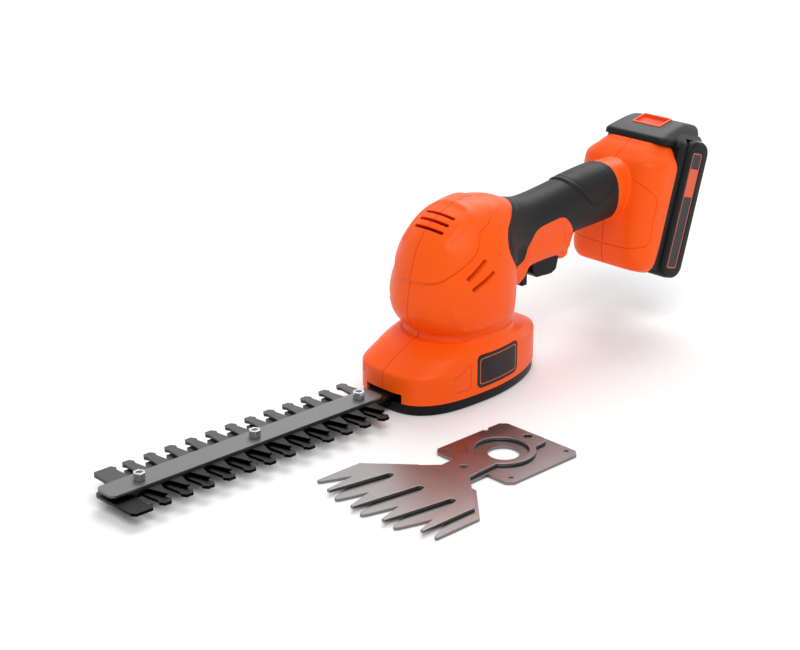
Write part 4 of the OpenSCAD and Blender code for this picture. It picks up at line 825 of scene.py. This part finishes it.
# Grass shear set: a stamped comb with its mounting plate, and a blade that swings on it about a rivet. It
# lies loose beside the tool and takes the place of the shrub blade; its steel is brushed across.
shear_steel = Finish("shear_steel", .3, 1)
brushed = shear_steel.noise(700, (1, .05, 1))
shear_steel.give("Base Color", shear_steel.mix(brushed, tone(116, 114, 114), tone(130, 127, 127)))
shear_steel.wear(600, .03, (1, .05, 1)).grain(2600, 4e-6, (1, .03, 1))
rivet_steel = Finish("shear_rivet", .42, 1)
rivet_steel.give("Base Color", rivet_steel.mix(rivet_steel.noise(500), tone(58, 54, 53), tone(78, 72, 70)))
rivet_steel.wear(400, .06)
for node, body, finish, slot, width in (("shear_comb", "shears", shear_steel, "shear_steel", .3),
                                        ("shear_blade", "shear_cutter", shear_steel, "shear_steel", .3),
                                        ("shear_pivot", "shears", rivet_steel, "fastener_steel", .2)):
    o = eased(node, node + "_skin", width)
    finish.paint(o)
    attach(o, body)
    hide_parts(node)

# Inner pieces keep their CAD shapes: the motor and gears, the switch, the battery's cells and board, and
# the screws. Each finish is that of the stock it is made from.
for name, rough, metal, dark, light, scale, stretch, nodes in (
        ("inner_plastic", .55, 0, (20, 20, 21), (30, 30, 31), 200, (1, 1, 1),
         ("motor_endcap", "cooling_fan", "switch_module", "terminal_block")),
        ("plain_steel", .3, 1, (150, 150, 152), (188, 188, 190), 600, (1, 1, 1),
         ("housing_screws", "motor_screws", "trigger_pin", "shaft_clip")),
        ("cast_aluminium", .5, 1, (128, 130, 134), (160, 162, 166), 900, (1, 1, 1), ("gear_plate",)),
        ("plated_steel", .28, 1, (140, 140, 146), (172, 172, 178), 500, (1, 1, .1),
         ("motor_can", "motor_shaft", "gear_shaft")),
        ("wound_copper", .4, 1, (120, 66, 36), (176, 104, 60), 1500, (1, 1, .15), ("motor_armature",)),
        ("sintered_steel", .45, 1, (132, 128, 118), (164, 158, 146), 1400, (1, 1, 1),
         ("motor_pinion", "drive_gear")),
        ("sintered_bronze", .5, 1, (168, 126, 70), (196, 152, 92), 1200, (1, 1, 1), ("shaft_bush",)),
        ("yoke_steel", .4, 1, (118, 118, 120), (146, 146, 148), 1100, (.03, 1, 1), ("blade_yoke",)),
        ("sheet_brass", .32, 1, (188, 150, 82), (214, 178, 104), 800, (1, 1, .1),
         ("terminal_blades", "battery_contacts")),
        ("cell_wrap", .4, 0, (38, 92, 150), (52, 112, 172), 300, (1, .1, 1), ("battery_cells",)),
        ("circuit_board", .45, 0, (20, 82, 48), (34, 104, 62), 400, (1, 1, 1), ("battery_board",))):
    finish = Finish(name, rough, metal)
    finish.give("Base Color", finish.mix(finish.noise(scale, stretch), tone(*dark), tone(*light)))
    finish.wear(scale, .06, stretch).grain(scale * 2, 1.5e-5, stretch)
    finish.paint(*(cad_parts[n] for n in nodes))

# White ground, an even white sky and two wide soft lamps, one before and one behind, with a camera that
# looks down on the tool from its front left.
bpy.ops.object.select_all(action="DESELECT")
bpy.ops.mesh.primitive_plane_add(size=20)
floor = bpy.context.object
floor.name = "floor"
white = Finish("white_ground", .9)
white.give("Base Color", white.mix(white.noise(.5), tone(250, 250, 250), tone(255, 255, 255))).paint(floor)
world = bpy.data.worlds.new("studio")
bpy.context.scene.world = world
world.use_nodes = True
sky = world.node_tree.nodes["Background"]
rays = world.node_tree.nodes.new("ShaderNodeLightPath")
seen, gloss, through = (Value(world.node_tree, rays.outputs[n]) for n in
                        ("Is Camera Ray", "Is Glossy Ray", "Is Transmission Ray"))
shown = seen.math("MAXIMUM", seen, gloss.math("MAXIMUM", gloss, through))
sky.inputs["Color"].default_value = (1, 1, 1, 1)
world.node_tree.links.new((shown * .5 + .5).socket, sky.inputs["Strength"])
for name, place, strength, spread in (("key", (-.55, -.75, 1.3), 1.2, 35),
                                      ("rear", (.65, .42, .85), 1.5, 40)):
    lamp = bpy.data.objects.new(name, bpy.data.lights.new(name, "SUN"))
    bpy.context.scene.collection.objects.link(lamp)
    lamp.data.energy = strength
    lamp.data.angle = math.radians(spread)
    lamp.location = place
    lamp.rotation_euler = (-Vector(place)).to_track_quat("-Z", "Y").to_euler()
camera = bpy.data.objects.new("camera", bpy.data.cameras.new("camera"))
bpy.context.scene.collection.objects.link(camera)
camera.data.lens = 78.75
back = Vector((-0.646, -0.6755, 0.356)).normalized()
right = Vector((0, 0, 1)).cross(back).normalized()
camera.matrix_world = Matrix.Translation((-0.8114, -0.79185, 0.47305)) @ Matrix(
    (right, back.cross(right), back)).transposed().to_4x4()
bpy.context.scene.camera = camera
bpy.context.scene.view_settings.view_transform = "Standard"
